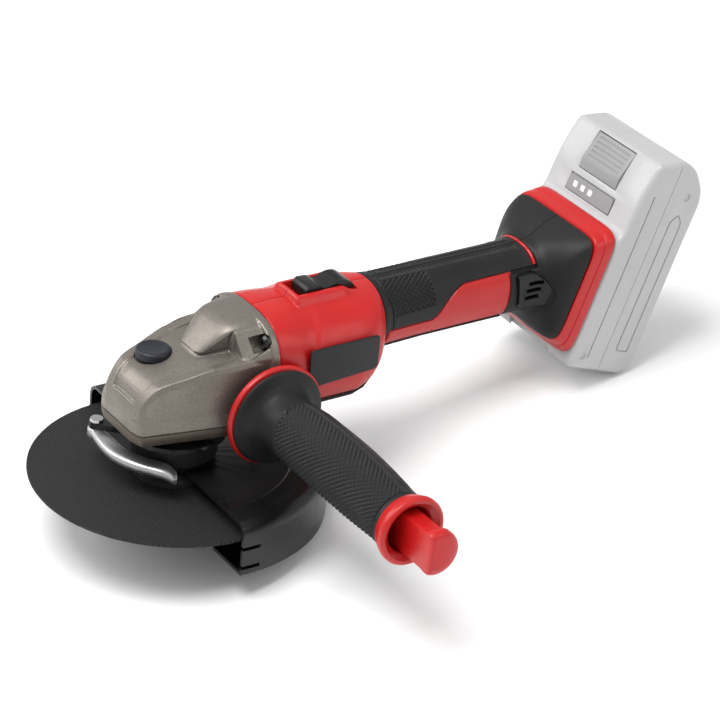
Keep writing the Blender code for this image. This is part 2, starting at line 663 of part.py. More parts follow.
def bevel_gear(name, teeth, cone, bore, back, phase, flank, material, at, turn):
    """Straight bevel gear on Z with its apex at the origin and its teeth facing it.

    Each section is a ring of trapezoid teeth at one distance from the apex, so the teeth taper towards it.
    """
    half_pitch = math.pi / teeth
    rings = []
    for reach in (REACH - FACE, REACH):
        size = MODULE * reach / REACH
        outline = []
        for tooth in range(teeth):
            middle = phase + 2 * half_pitch * tooth
            for height, share in flank:
                angle = middle + share * half_pitch
                lift = math.atan2(size * height, reach)
                radius = reach * math.sin(cone + lift)
                outline.append((radius * math.cos(angle), radius * math.sin(angle),
                                -reach * math.cos(cone + lift)))
        rings.append(outline)
    outer_r = rings[1][0][0] / math.cos(math.atan2(rings[1][0][1], rings[1][0][0]))
    middles = [phase + 2 * half_pitch * tooth for tooth in range(teeth)]

    def plain(radius, height):
        return [(radius * math.cos(angle), radius * math.sin(angle), height) for angle in middles]

    bm = bmesh.new()
    bore_top, inner, outer, rim, bore_back = (
        [bm.verts.new(point) for point in row]
        for row in (plain(bore, rings[0][0][2]), *rings, plain(outer_r, back), plain(bore, back)))
    stitch(bm, inner, bore_top)
    stitch(bm, outer, rim)
    for one, two in ((inner, outer), (rim, bore_back), (bore_back, bore_top)):
        for i in range(len(one)):
            j = (i + 1) % len(one)
            bm.faces.new((one[i], one[j], two[j], two[i]))
    return place(name, to_mesh(bm), material, at, turn)


CROWN_FLANK = ((-1.2, -0.72), (0.95, -0.22), (0.95, 0.22), (-1.2, 0.72))
PINION_FLANK = ((-1.2, -0.66), (0.0, -0.42), (0.95, -0.16), (0.95, 0.16), (0.0, 0.42), (-1.2, 0.66))
crown_gear = bevel_gear("crown_gear", CROWN_TEETH, math.pi / 2 - CONE, 6.3, -13.5, 0.0, CROWN_FLANK, dark_steel,
                        AXLE, (0, 0, 0))
cut(crown_gear, rod(14.2, MOTOR_Z - 6.4, MOTOR_Z, 32))
for hole in range(LOCK_HOLES):
    angle = LOCK_ANGLE + TAU * hole / LOCK_HOLES
    cut(crown_gear, rod(2.4, 40.0, 60.0, 8), at=(LOCK_R * math.cos(angle), LOCK_R * math.sin(angle), 0))
bevel_gear("pinion_gear", PINION_TEETH, CONE, 3.5, -27.2, math.pi / PINION_TEETH, PINION_FLANK, bright_steel,
           AXLE, (0, -math.pi / 2, 0))


# ---------------------------------------------------------------- spindle, flange, disc and nut

turned("spindle", [(0, SPINDLE_TOP), (4.0, SPINDLE_TOP), (4.0, 58.0), (6.0, 57.6), (6.0, 46.9), (7.6, 46.9),
                   (7.6, 43.4), (6.0, 43.4), (6.0, 33.0), (8.0, 32.5), (8.0, 12.0), (11.0, 11.5),
                   (11.0, FLANGE_TOP + GAP), (THREAD_R, FLANGE_TOP + GAP), (THREAD_R, SPINDLE_BOTTOM + 1),
                   (THREAD_R - 1, SPINDLE_BOTTOM), (0, SPINDLE_BOTTOM)], bright_steel, 16)
turned("inner_flange", [(17.0, FLANGE_TOP), (FLANGE_R, 4.0), (FLANGE_R, DISC_HALF + GAP), (10.8, DISC_HALF + GAP),
                        (10.8, -0.5), (7.1, -0.5), (7.1, FLANGE_TOP)], dark_steel, 24, closed=True)
ring("grinding_disc", 11.2, DISC_R, -DISC_HALF, DISC_HALF, abrasive, 48)


def clamping_nut():
    nut = turned("clamping_nut", [(NUT_R, -DISC_HALF - GAP), (NUT_R, -5.0), (16.0, NUT_BOTTOM), (7.1, NUT_BOTTOM),
                                  (7.1, -DISC_HALF - GAP)], dark_steel, 24, closed=True)
    for quarter in range(4):
        angle = TAU * quarter / 4
        cut(nut, rod(2.0, -10.0, -4.5, 8), at=(12.5 * math.cos(angle), 12.5 * math.sin(angle), 0))
    return nut


clamping_nut()


# ---------------------------------------------------------------- spindle lock

turned("lock_button", [(0, BUTTON_TOP), (BUTTON_R - 1.6, BUTTON_TOP - 0.2), (BUTTON_R, BUTTON_TOP - 1.2),
                       (BUTTON_R, 65.0), (7.6, 65.0), (7.6, 67.6), (0, 67.6)], blue_black_plastic, 24,
       at=(BUTTON_X, BUTTON_Y, 0))
turned("lock_pin", [(0, 67.3), (3.9, 67.3), (3.9, 66.3), (1.9, 66.3), (1.9, 56.6), (1.3, 55.9), (0, 55.9)],
       bright_steel, 12, at=PIN_AT)


def lock_spring():
    """Coil spring round the pin, under its head."""
    turns, steps, radius = 2, 8, 3.2
    curve = bpy.data.curves.new("lock_spring", "CURVE")
    curve.dimensions = "3D"
    curve.bevel_depth = 0.35 * MM
    curve.bevel_resolution = 1
    curve.use_fill_caps = True
    spline = curve.splines.new("POLY")
    spline.points.add(turns * steps)
    for k, point in enumerate(spline.points):
        angle = TAU * k / steps
        height = BUTTON_WELL + 0.6 + 2.4 * k / (turns * steps)
        point.co = (radius * math.cos(angle) * MM, radius * math.sin(angle) * MM, height * MM, 1)
    curve.materials.append(bright_steel)
    spring = bpy.data.objects.new("lock_spring", curve)
    parts.objects.link(spring)
    spring.location = Vector(PIN_AT) * MM
    spring.parent = stance
    return spring


lock_spring()


# ---------------------------------------------------------------- guard

def wheel_guard():
    """Half cover with a rounded shoulder, a lower lip, a full collar on the neck, and a clip at one corner."""
    outer, sheet = GUARD_R, GUARD_SHEET
    shoulder = [(outer - 7 + 7 * math.sin(a), GUARD_TOP - 7 + 7 * math.cos(a)) for a in
                (math.radians(k * 30) for k in range(4))]
    inside = [(outer - 7 + (7 - sheet) * math.sin(a), GUARD_TOP - 7 + (7 - sheet) * math.cos(a)) for a in
              (math.radians(k * 30) for k in range(3, -1, -1))]
    profile = [(18.5, GUARD_TOP)] + shoulder + [(outer, GUARD_BOTTOM), (GUARD_LIP_R, GUARD_BOTTOM),
                                                (GUARD_LIP_R, GUARD_BOTTOM + sheet),
                                                (outer - sheet, GUARD_BOTTOM + sheet)]
    profile += inside + [(18.5, GUARD_TOP - sheet)]
    guard = turned("wheel_guard", profile, black_steel, 40, closed=True)
    cut(guard, box((-100, -100, -30), (GUARD_FRONT, 100, 30)), turn=(0, 0, GUARD_SKEW))
    collar = [(27.0, 27.0), (27.0, 24.5), (19.8, 23.5), (19.8, GUARD_TOP - sheet), (NECK_R + 0.4, GUARD_TOP - sheet),
              (NECK_R + 0.4, 27.0)]
    rim = turned("cutter_collar", collar, None, 28, closed=True, collection=cutters)
    rim.hide_render = True
    rim.display_type = "WIRE"
    boolean = guard.modifiers.new("boolean", "BOOLEAN")
    boolean.operation = "UNION"
    boolean.object = rim
    for z in (-3.0, -14.0):
        cut(guard, box((-4.5, -82, z), (7.0, -76, z + 2.0)))
    return guard


wheel_guard()


def guard_band():
    """Clamp band round the guard's collar, with the ear that carries the lever's pin."""
    band = ring("guard_band", 20.2, 22.6, 13.5, 22.8, black_steel, 28)
    x, y = LEVER_PIVOT
    reach, angle = math.hypot(x, y), math.atan2(y, x)
    ear = [(20.6, -5.0), (reach - 3, -4.2), (reach + 2.6, -3.2), (reach + 4.2, 0), (reach + 2.6, 3.2),
           (reach - 3, 4.2), (20.6, 5.0)]
    join(band, prism(ear, 19.8, 22.8), turn=(0, 0, angle))
    cut(band, rod(20.1, 10.0, 25.0, 28))
    cut(band, rod(2.4, 10.0, 30.0, 12), at=(x, y, 0))
    return band


guard_band()


def guard_lever():
    """Cast lever that sweeps round the nose from its knuckle to a turned-down tip."""
    path = [(143, 39.5, 16.6, 3.2), (152, 36.4, 16.6, 3.8), (164, 34.0, 16.6, 4.1), (178, 32.5, 16.6, 4.2),
            (192, 31.2, 16.5, 4.2), (206, 29.9, 16.4, 4.2), (219, 29.0, 16.1, 4.3), (230, 28.8, 15.3, 4.5),
            (237, 29.2, 13.9, 4.6), (241, 29.8, 12.2, 4.4)]
    x0, y0 = LEVER_PIVOT
    rings = []
    for degrees, radius, height, half in path:
        angle = math.radians(degrees)
        tall = 2.9
        outline = [(-half, -tall * 0.6), (-half * 0.6, -tall), (half * 0.6, -tall), (half, -tall * 0.6),
                   (half, tall * 0.5), (half * 0.5, tall), (-half * 0.5, tall), (-half, tall * 0.5)]
        rings.append([((radius + dr) * math.cos(angle) - x0, (radius + dr) * math.sin(angle) - y0, height + dz)
                      for dr, dz in outline])
    lever = place("guard_lever", loft(rings), bright_steel, at=(x0, y0, 0))
    join(lever, rod(4.6, 13.7, 19.5, 20), at=(x0, y0, 0))
    cut(lever, rod(2.4, 10.0, 25.0, 12), at=(x0, y0, 0))
    return lever


guard_lever()
turned("lever_pin", [(0, 24.6), (3.4, 24.4), (3.6, 23.1), (2.1, 23.1), (2.1, 13.4), (3.2, 13.4), (3.2, 12.2),
                     (0, 12.2)], bright_steel, 14, at=(*LEVER_PIVOT, 0))


# ---------------------------------------------------------------- side handle, along -Y from the head

HANDLE = dict(at=(HANDLE_X, 0, HANDLE_Z), turn=ALONG_MINUS_Y)
FACE_Y = -HANDLE_FACE
END_Y = -HANDLE_END

ring("handle_damper", 8.4, 23.0, FACE_Y + GAP, FACE_Y + 2.3, black_rubber, 24, **HANDLE)
turned("handle_stud", [(0, 70.0), (3.5, 70.0), (3.5, 40.0), (7.6, 40.0), (7.6, 34.6), (4.0, 34.6), (4.0, 27.0),
                       (3.2, 26.2), (0, 26.2)], bright_steel, 16, **HANDLE)
ring("handle_flange_ring", 20.3, 27.5, FACE_Y + 2.6, FACE_Y + 6.0, red_plastic, 32, **HANDLE)


def handle_grip():
    """Flange, neck and a grip that swells towards one side."""
    rows = [(36.4, 20.0, 0.0), (40.1, 20.0, 0.0), (40.1, 26.3, 0.0), (42.0, 26.0, 0.0), (44.0, 20.5, 0.3),
            (48.0, 17.3, 0.7), (54.0, 16.6, 1.0), (72.0, 17.5, 1.3), (100.0, 17.5, 1.0),
            (122.0, 16.8, 0.6), (138.0, 15.9, 0.3), (146.0, 15.4, 0.1), (END_Y - 12.6, 15.6, 0.0)]
    rings = []
    for y, radius, swell in rows:
        outline = []
        for step in range(20):
            angle = TAU * step / 20
            outline.append((HANDLE_X + swell + radius * math.cos(angle), -y,
                            HANDLE_Z + swell + radius * math.sin(angle)))
        rings.append(outline)
    mesh = loft(rings)
    mesh.transform(Matrix.Translation((-HANDLE_X, 0, -HANDLE_Z)))
    grip = place("handle_grip", mesh, black_rubber, at=(HANDLE_X, 0, HANDLE_Z))
    cut(grip, rod(4.1, 30.0, 74.0, 8), **HANDLE)
    cut(grip, rod(8.2, 30.0, 40.4, 12), **HANDLE)
    cut(grip, rod(12.0, 124.0, 155.0, 20), **HANDLE)
    cut(grip, rod(13.7, END_Y - 17.0, 155.0, 20), **HANDLE)
    return grip


handle_grip()
turned("handle_end_ring", [(15.0, END_Y - 0.4), (17.4, END_Y), (18.4, END_Y - 1.2), (18.4, END_Y - 3.6),
                           (15.7, END_Y - 12.3), (13.3, END_Y - 12.3), (13.3, END_Y - 16.6), (12.4, END_Y - 16.6),
                           (12.4, END_Y - 4.0)], red_plastic, 24, closed=True, **HANDLE)


def stowed_key():
    """The guard key parked in the handle's end: a flat shank with a round head that has one flat side."""
    radius, flat, thick, half_width = 12.0, -5.0, 4.0, 10.3
    spread = math.acos(flat / radius)
    head = [(radius * math.cos(a), radius * math.sin(a)) for a in
            (spread * (k / 6 - 1) for k in range(13))]
    shank = [(min(x, thick), max(-half_width, min(z, half_width))) for x, z in head]
    end = [(max(flat, 0.95 * x), 0.95 * z) for x, z in head]
    rings = [[(x, -z, y) for x, z in outline] for outline, y in
             ((shank, 128.0), (shank, 177.0), (head, 179.5), (head, 184.6), (end, 185.2))]
    return place("stowed_key", loft(rings), red_plastic, **HANDLE)


stowed_key()


# ---------------------------------------------------------------- battery, in its seat's frame

def battery_block(low, high, inset):
    """The battery's outline, from its side view, between two distances behind the seat."""
    side_view = [(0.6, -76), (3, BATTERY_BOTTOM), (43, BATTERY_BOTTOM), (47.5, -74), (BATTERY_REAR, 26),
                 (46, 33), (37.4, 42.5), (27.4, BATTERY_TOP), (9.6, 41.6), (8.4, 39.8), (4, 22), (3, 0),
                 (0.6, -4)]
    middle = (24.0, -17.0)
    half = BATTERY_HALF - inset
    rings = []
    for y, shrink in ((-half, 3.0), (-half + 3, 0.0), (half - 3, 0.0), (half, 3.0)):
        ring_points = []
        for w, u in side_view:
            w += math.copysign(min(inset + shrink, abs(w - middle[0])), middle[0] - w)
            u += math.copysign(min(inset + shrink, abs(u - middle[1])), middle[1] - u)
            ring_points.append((min(max(w, low), high), y, u))
        rings.append(ring_points)
    return loft(rings)


def battery_case(name, low, high, material):
    case = place(name, battery_block(-5, 60, 0), material, parent=seat)
    keep = box((low, -60, -100), (high, 60, 70))
    combine(case, keep, "INTERSECT", parent=seat)
    cut(case, box((13.0, -35.0, -76.0), (45.5, 35.0, 32.0)), parent=seat)
    return case


battery_front = battery_case("battery_case_front", -1, 24.0, pale_grey_plastic)
cut(battery_front, box((-2, -18, -82), (8.6, 18, -12)), parent=seat)
cut(battery_front, box((3.4, -23, -82), (8.6, 23, -12)), parent=seat)
cut(battery_front, box((-2.0, -16.4, 17.4), (11.6, 16.4, 40.0)), parent=seat)
cut(battery_front, box((-2.0, -19.4, 3.4), (4.6, 19.4, 13.6)), parent=seat)
battery_case("battery_case_rear", 24.3, 60, pale_grey_plastic)


def cell_pack():
    """Five cells across the battery, held by two end frames."""
    pack = place("cell_pack", box((15.0, -33.0, -75.0), (44.0, -30.0, 31.0)), cell_blue, parent=seat)
    join(pack, box((15.0, 30.0, -75.0), (44.0, 33.0, 31.0)), parent=seat)
    for k in range(5):
        join(pack, rod(10.2, -31.5, 31.5, 14), at=(29.5, 0, -64.0 + 21.0 * k), turn=ALONG_MINUS_Y, parent=seat)
    return pack


cell_pack()


def latch_button():
    """The sprung release button, with finger ribs near its top."""
    outline = [(3.6, 17.8), (3.4, 24.0), (8.6, 39.4), (9.0, 39.4), (9.0, 17.8)]
    rings = [[(w, y, u) for w, u in outline] for y in (-16.0, 16.0)]
    button = place("battery_latch_button", loft(rings), grey_plastic, parent=seat)
    for k in range(4):
        u = 27.0 + 3.0 * k
        w = 3.4 + (u - 24.0) / 15.4 * 5.2
        cut(button, box((w - 2, -13.0, u), (w + 0.4, 13.0, u + 1.2)), parent=seat)
    return button


latch_button()
place("battery_gauge_panel", box((2.9, -19.0, 3.8), (4.2, 19.0, 13.2)), grey_plastic, parent=seat)


# ---------------------------------------------------------------- stance

def set_down():
    """Pitches the tool onto the floor and moves the origin under the middle of its box."""
    lean = Matrix.Rotation(SEAT_LEAN, 3, "Y")
    seat_at = Vector((SEAT_X, 0, SEAT_Z))
    heel = seat_at + lean @ Vector((43.0, 0, BATTERY_BOTTOM))
    pitch = math.atan2(heel.z - GUARD_BOTTOM, heel.x - GUARD_R)
    stance.rotation_euler = (0, pitch, 0)
    bpy.context.view_layer.update()
    graph = bpy.context.evaluated_depsgraph_get()
    points = []
    for obj in parts.objects:
        if obj.type == "EMPTY":
            continue
        evaluated = obj.evaluated_get(graph)
        mesh = evaluated.to_mesh()
        points += [evaluated.matrix_world @ vert.co for vert in mesh.vertices]
        evaluated.to_mesh_clear()
    low = Vector(min(point[k] for point in points) for k in range(3))
    high = Vector(max(point[k] for point in points) for k in range(3))
    stance.location = (-(low.x + high.x) / 2, -(low.y + high.y) / 2, -low.z)
    bpy.context.view_layer.update()


set_down()
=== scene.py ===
"""Looks of the angle grinder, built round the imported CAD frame."""

import json
import math

import bmesh
import bpy
from mathutils import Matrix, Vector


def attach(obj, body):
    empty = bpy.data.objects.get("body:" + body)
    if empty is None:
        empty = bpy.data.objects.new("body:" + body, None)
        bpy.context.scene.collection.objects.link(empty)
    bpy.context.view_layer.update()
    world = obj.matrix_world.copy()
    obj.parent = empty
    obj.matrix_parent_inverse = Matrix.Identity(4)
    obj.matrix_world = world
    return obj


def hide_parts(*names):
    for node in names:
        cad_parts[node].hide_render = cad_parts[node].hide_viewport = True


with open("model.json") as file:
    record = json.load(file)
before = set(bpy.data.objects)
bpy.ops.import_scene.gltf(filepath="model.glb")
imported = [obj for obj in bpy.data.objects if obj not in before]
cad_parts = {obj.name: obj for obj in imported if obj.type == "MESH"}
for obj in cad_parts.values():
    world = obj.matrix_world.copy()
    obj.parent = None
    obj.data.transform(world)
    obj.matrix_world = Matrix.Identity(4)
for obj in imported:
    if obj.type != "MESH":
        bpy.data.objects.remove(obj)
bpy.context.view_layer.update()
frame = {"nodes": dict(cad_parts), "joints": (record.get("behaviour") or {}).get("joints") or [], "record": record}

MM = 0.001
TAU = 2 * math.pi
LEFT, RIGHT = -1, 1  # the near and the far side of the middle plane

# The tool's own frame, in mm: origin on the spindle's axis at the disc, +X back to the battery, +Z up
joints = {joint["name"]: joint for joint in frame["joints"]}
up_axis = Vector(joints["spindle_spin"]["axis"])
along_axis = Vector(joints["rotor_spin"]["axis"])
TOOL = Matrix((along_axis, (0, 1, 0), up_axis)).transposed().to_4x4()
TOOL.translation = Vector(joints["spindle_spin"]["pos_m"])
SEAT_X, SEAT_Z, SEAT_LEAN = 250.3, 99.7, 0.343
SEAT = TOOL @ Matrix.Translation(Vector((SEAT_X, 0, SEAT_Z)) * MM) @ Matrix.Rotation(SEAT_LEAN, 4, "Y")

# Driving dimensions, in mm, as in the CAD
GAP = 0.3
MOTOR_Z = 61.0
CASE_BOTTOM, CASE_FLANGE, CASE_REAR = 37.6, 37.0, 41.0
SCREW_SEAT = 37.3
UPPER_SCREW, LOWER_SCREW = (23.3, 77.6), (26.8, 57.0)
BUTTON_X, BUTTON_Y, BUTTON_R, BUTTON_TOP = -9.8, 9.4, 9.3, 69.3
GUARD_R, GUARD_TOP, GUARD_BOTTOM, GUARD_SHEET = 80.5, 11.3, -17.7, 1.8
GUARD_FRONT, GUARD_SKEW, GUARD_LIP_R = -5.0, math.radians(-1.04), 52.0
LEVER_PIVOT = (-31.0, 26.0)
HANDLE_X, HANDLE_Z, HANDLE_END = 35.0, 43.5, 163.0
BATTERY_HALF, BATTERY_TOP, BATTERY_BOTTOM, BATTERY_REAR = 36.8, 46.3, -79.5, 48.5

# Outer skin, front to back: x, z of the middle, lean in degrees, half width, half height, and how square the
# section is below and above
SKIN = [
    (41.4, 61.0, 0, 31.7, 26.4, 3.6, 2.8),
    (52.0, 60.8, 0, 32.6, 26.8, 3.6, 2.5),
    (62.0, 60.8, 0, 33.0, 26.8, 3.6, 2.2),
    (90.0, 60.8, 0, 33.0, 26.8, 3.6, 2.2),
    (98.0, 61.4, 0, 32.0, 26.0, 3.3, 2.2),
    (105.0, 63.0, 0, 29.0, 24.2, 3.0, 2.2),
    (109.5, 64.6, 0, 25.0, 22.4, 2.7, 2.2),
    (112.0, 65.6, 0, 21.6, 21.4, 2.5, 2.2),
    (118.0, 67.2, 0, 18.4, 19.7, 2.2, 2.2),
    (144.0, 67.5, 0, 18.0, 19.4, 2.2, 2.2),
    (191.0, 67.5, 0, 18.2, 19.4, 2.2, 2.2),
    (205.0, 67.5, 0, 18.8, 19.6, 2.2, 2.2),
    (211.0, 67.8, 3, 20.2, 20.2, 2.5, 2.5),
    (213.5, 67.6, 7, 22.6, 21.6, 2.8, 2.8),
    (217.0, 68.0, 12, 29.0, 25.0, 4.2, 4.2),
    (222.0, 68.6, 16.5, 34.2, 29.0, 6.2, 6.2),
    (226.3, 69.0, 19.65, 35.9, 31.2, 8.0, 8.0),
]
GRIP_FRONT, GRIP_REAR, FOOT_SIDE = 112.0, 209.4, 195.0
GRIP_EDGE = [(112.0, -12), (144.0, -12), (149.0, -2), (154.5, 14), (160.5, 28), (166.0, 35), (211.0, 37)]
TRIM_EDGE = -51
SEAM = 0.15


# ---------------------------------------------------------------- materials

class Nodes:
    """A small helper that wires one procedural material."""

    def __init__(self, name):
        self.material = bpy.data.materials.new(name)
        self.material.use_nodes = True
        self.tree = self.material.node_tree
        self.shader = next(node for node in self.tree.nodes if node.type == "BSDF_PRINCIPLED")
        self.place = self.tree.nodes.new("ShaderNodeTexCoord").outputs["Object"]

    def add(self, kind, settings=None, **inputs):
        node = self.tree.nodes.new(kind)
        for key, value in (settings or {}).items():
            setattr(node, key, value)
        for key, value in inputs.items():
            socket = node.inputs[int(key[1:])] if key[0] == "_" else node.inputs[key]
            if hasattr(value, "is_output"):
                self.tree.links.new(value, socket)
            else:
                socket.default_value = value
        return node

    def noise(self, size_mm, detail=3.0, roughness=0.55):
        node = self.add("ShaderNodeTexNoise", Vector=self.place, Scale=1000 / size_mm, Detail=detail,
                        Roughness=roughness)
        return node.outputs["Fac"]

    def spread(self, value, low, high, out_low, out_high):
        node = self.add("ShaderNodeMapRange", Value=value)
        for key, number in (("From Min", low), ("From Max", high), ("To Min", out_low), ("To Max", out_high)):
            node.inputs[key].default_value = number
        return node.outputs["Result"]

    def mix(self, factor, first, second):
        node = self.tree.nodes.new("ShaderNodeMix")
        node.data_type = "RGBA"
        self.tree.links.new(factor, node.inputs[0])
        for socket, colour in ((node.inputs[6], first), (node.inputs[7], second)):
            if hasattr(colour, "is_output"):
                self.tree.links.new(colour, socket)
            else:
                socket.default_value = (*colour, 1)
        return node.outputs[2]

    def bump(self, height, depth_mm, strength=1.0, under=None):
        node = self.add("ShaderNodeBump", Height=height, Distance=depth_mm * MM, Strength=strength)
        if under is not None:
            self.tree.links.new(under, node.inputs["Normal"])
        return node.outputs["Normal"]

    def wire(self, colour=None, roughness=None, normal=None, **constants):
        for name, value in (("Base Color", colour), ("Roughness", roughness), ("Normal", normal)):
            if value is not None:
                self.tree.links.new(value, self.shader.inputs[name])
        for name, value in constants.items():
            self.shader.inputs[name.replace("_", " ")].default_value = value
        return self.material


def plastic(name, colour, roughness, grain_mm=0.5, grain_depth=0.02, shade=0.12, coat=0.0, gloss=0.4):
    """Moulded plastic or rubber: fine grain, faint mottling and slightly uneven gloss."""
    n = Nodes(name)
    broad, fine = n.noise(38.0, 4.0), n.noise(grain_mm, 2.0)
    dark = [c * (1 - shade) for c in colour]
    light = [min(1.0, c * (1 + shade)) for c in colour]
    tint = n.mix(n.spread(broad, 0.35, 0.65, 0.0, 1.0), dark, light)
    tint = n.mix(n.spread(fine, 0.30, 0.70, 0.0, 0.35), tint, dark)
    rough = n.spread(n.noise(9.0, 5.0), 0.3, 0.7, roughness - 0.05, roughness + 0.06)
    return n.wire(tint, rough, n.bump(fine, grain_depth), Coat_Weight=coat, Coat_Roughness=0.12,
                  Specular_IOR_Level=gloss)


def metal(name, colour, roughness, metallic, speck=0.16, speck_mm=0.9, depth=0.05):
    """Cast or turned metal: speckle, cloudy tone and a pebbled surface."""
    n = Nodes(name)
    cloud, fleck, grit = n.noise(16.0, 5.0), n.noise(speck_mm, 3.0, 0.7), n.noise(speck_mm * 0.35, 2.0)
    dark, light = [c * (1 - speck) for c in colour], [min(1.0, c * (1 + speck)) for c in colour]
    tint = n.mix(n.spread(fleck, 0.36, 0.64, 0.0, 1.0), dark, light)
    tint = n.mix(n.spread(cloud, 0.3, 0.7, 0.0, 0.4), tint, [c * 0.82 for c in colour])
    rough = n.spread(cloud, 0.3, 0.7, roughness - 0.05, roughness + 0.08)
    lower = n.bump(fleck, depth)
    return n.wire(tint, rough, n.bump(grit, depth * 0.4, under=lower), Metallic=metallic)


def disc_material():
    """Resin-bonded grit with two crossing bundles of glass strands showing through."""
    n = Nodes("abrasive_disc")
    strands = []
    for turn in (1.1, 1.1 + math.pi / 2):
        turned_place = n.add("ShaderNodeMapping", Vector=n.place, Rotation=(0, 0, turn)).outputs["Vector"]
        wave = n.add("ShaderNodeTexWave", Vector=turned_place, Scale=210.0, Distortion=2.2)
        wave.inputs["Detail"].default_value = 1.0
        strands.append(wave.outputs["Fac"])
    weave = n.add("ShaderNodeMath", {"operation": "MAXIMUM"}, _0=strands[0], _1=strands[1]).outputs[0]
    grit = n.noise(0.7, 3.0, 0.7)
    tint = n.mix(n.spread(weave, 0.55, 1.0, 0.0, 0.8), (0.003, 0.003, 0.003), (0.018, 0.018, 0.018))
    tint = n.mix(n.spread(grit, 0.45, 0.75, 0.0, 0.5), tint, (0.038, 0.038, 0.037))
    lower = n.bump(weave, 0.4)
    return n.wire(tint, n.spread(grit, 0.3, 0.7, 0.5, 0.75), n.bump(grit, 0.12, under=lower),
                  Specular_IOR_Level=0.3)


RED = plastic("red_shell", (0.46, 0.006, 0.006), 0.38, 0.7, 0.012, 0.06, coat=0.12)
SOFT = plastic("soft_black", (0.010, 0.010, 0.011), 0.50, 0.45, 0.03, 0.22, gloss=0.28)
BLACK = plastic("hard_black", (0.008, 0.008, 0.009), 0.36, 0.5, 0.015, 0.2, gloss=0.32)
BLUE_BLACK = plastic("blue_black", (0.012, 0.013, 0.020), 0.42, 0.4, 0.03, 0.2, gloss=0.35)
PALE = plastic("pale_battery", (0.43, 0.432, 0.438), 0.34, 0.8, 0.01, 0.035, coat=0.15)
PALE_DARK = plastic("battery_latch_grey", (0.27, 0.272, 0.277), 0.42, 0.6, 0.02, 0.06)
WINDOW = plastic("battery_light_window", (0.75, 0.755, 0.76), 0.25, 0.8, 0.01, 0.03)
CAST = metal("cast_head", (0.200, 0.180, 0.157), 0.38, 0.6, 0.24, 0.7, 0.06)
BRONZE = metal("cast_rim", (0.105, 0.085, 0.068), 0.46, 0.6, 0.16, 0.8, 0.05)
BRIGHT = metal("bright_casting", (0.50, 0.50, 0.51), 0.33, 0.95, 0.06, 1.2, 0.03)
STEEL = metal("turned_steel", (0.55, 0.55, 0.56), 0.25, 1.0, 0.05, 0.5, 0.01)
DARK = metal("dark_steel", (0.085, 0.085, 0.09), 0.38, 0.8, 0.12, 0.6, 0.02)
GUARD = metal("guard_coating", (0.005, 0.005, 0.0055), 0.30, 0.1, 0.2, 0.6, 0.02)
DISC = disc_material()
CELL = plastic("cell_wrap", (0.08, 0.16, 0.34), 0.4, 0.8, 0.01, 0.08)

# What each CAD node that stays visible is made of
FINISH = {
    "red_plastic": RED, "black_rubber": SOFT, "black_plastic": BLACK, "black_steel": GUARD,
    "cast_bronze_grey": CAST,
    "bright_steel": STEEL, "dark_steel": DARK, "abrasive": DISC, "blue_black_plastic": BLUE_BLACK,
    "pale_grey_plastic": PALE, "grey_plastic": PALE_DARK, "cell_blue": CELL,
}


# ---------------------------------------------------------------- shared geometry

def smooth(table, x, column=1):
    """A smooth curve through a table's rows that never overshoots them."""
    if x <= table[0][0]:
        return table[0][column]
    if x >= table[-1][0]:
        return table[-1][column]
    k = max(i for i, row in enumerate(table) if row[0] <= x)
    slopes = [(b[column] - a[column]) / (b[0] - a[0]) for a, b in zip(table, table[1:])]

    def tangent(i):
        if i == 0 or i == len(table) - 1:
            return slopes[min(i, len(slopes) - 1)]
        first, second = slopes[i - 1], slopes[i]
        return 0.0 if first * second <= 0 else 2 * first * second / (first + second)

    (x0, v0), (x1, v1) = ((row[0], row[column]) for row in (table[k], table[k + 1]))
    t, h = (x - x0) / (x1 - x0), x1 - x0
    return (v0 * (1 + 2 * t) * (1 - t) ** 2 + tangent(k) * h * t * (1 - t) ** 2
            + v1 * t * t * (3 - 2 * t) + tangent(k + 1) * h * t * t * (t - 1))


def ease(low, high, x):
    """0 below low, 1 above high, and smooth between."""
    t = min(1.0, max(0.0, (x - low) / (high - low)))
    return t * t * (3 - 2 * t)


def spaced(low, high, step):
    count = max(2, round(abs(high - low) / step))
    return [low + (high - low) * k / count for k in range(count + 1)]


def mesh_from(name, verts, faces):
    mesh = bpy.data.meshes.new(name)
    mesh.from_pydata([tuple(v) for v in verts], [], faces)
    bm = bmesh.new()
    bm.from_mesh(mesh)
    bmesh.ops.recalc_face_normals(bm, faces=bm.faces)
    bm.to_mesh(mesh)
    bm.free()
    return mesh


def draft(name, mesh):
    """An object in mm that is still being worked on."""
    obj = bpy.data.objects.new(name, mesh)
    bpy.context.scene.collection.objects.link(obj)
    return obj


def settle(obj):
    """Replaces the object's mesh by what its modifiers make of it."""
    bpy.context.view_layer.update()
    evaluated = obj.evaluated_get(bpy.context.evaluated_depsgraph_get())
    mesh = bpy.data.meshes.new_from_object(evaluated)
    obj.modifiers.clear()
    obj.data = mesh
    return obj


def modifier(obj, kind, **settings):
    made = obj.modifiers.new(kind.lower(), kind)
    for key, value in settings.items():
        setattr(made, key, value)
    return made


def subtract(obj, cutters, operation="DIFFERENCE"):
    for cutter in cutters:
        tool = draft("tool", cutter)
        modifier(obj, "BOOLEAN", operation=operation, object=tool, solver="EXACT")
        settle(obj)
        bpy.data.objects.remove(tool)
    return obj


def finish_piece(obj, material, body, replaced=(), frame_matrix=TOOL, angle=35):
    """Takes a piece from mm to its place, and gives it its material and its body."""
    obj.data.transform(frame_matrix @ Matrix.Scale(MM, 4))
    obj.data.materials.clear()
    obj.data.materials.append(material)
    obj.data.shade_smooth()
    obj.data.set_sharp_from_angle(angle=math.radians(angle))
    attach(obj, body)
    if replaced:
        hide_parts(*replaced)
    return obj


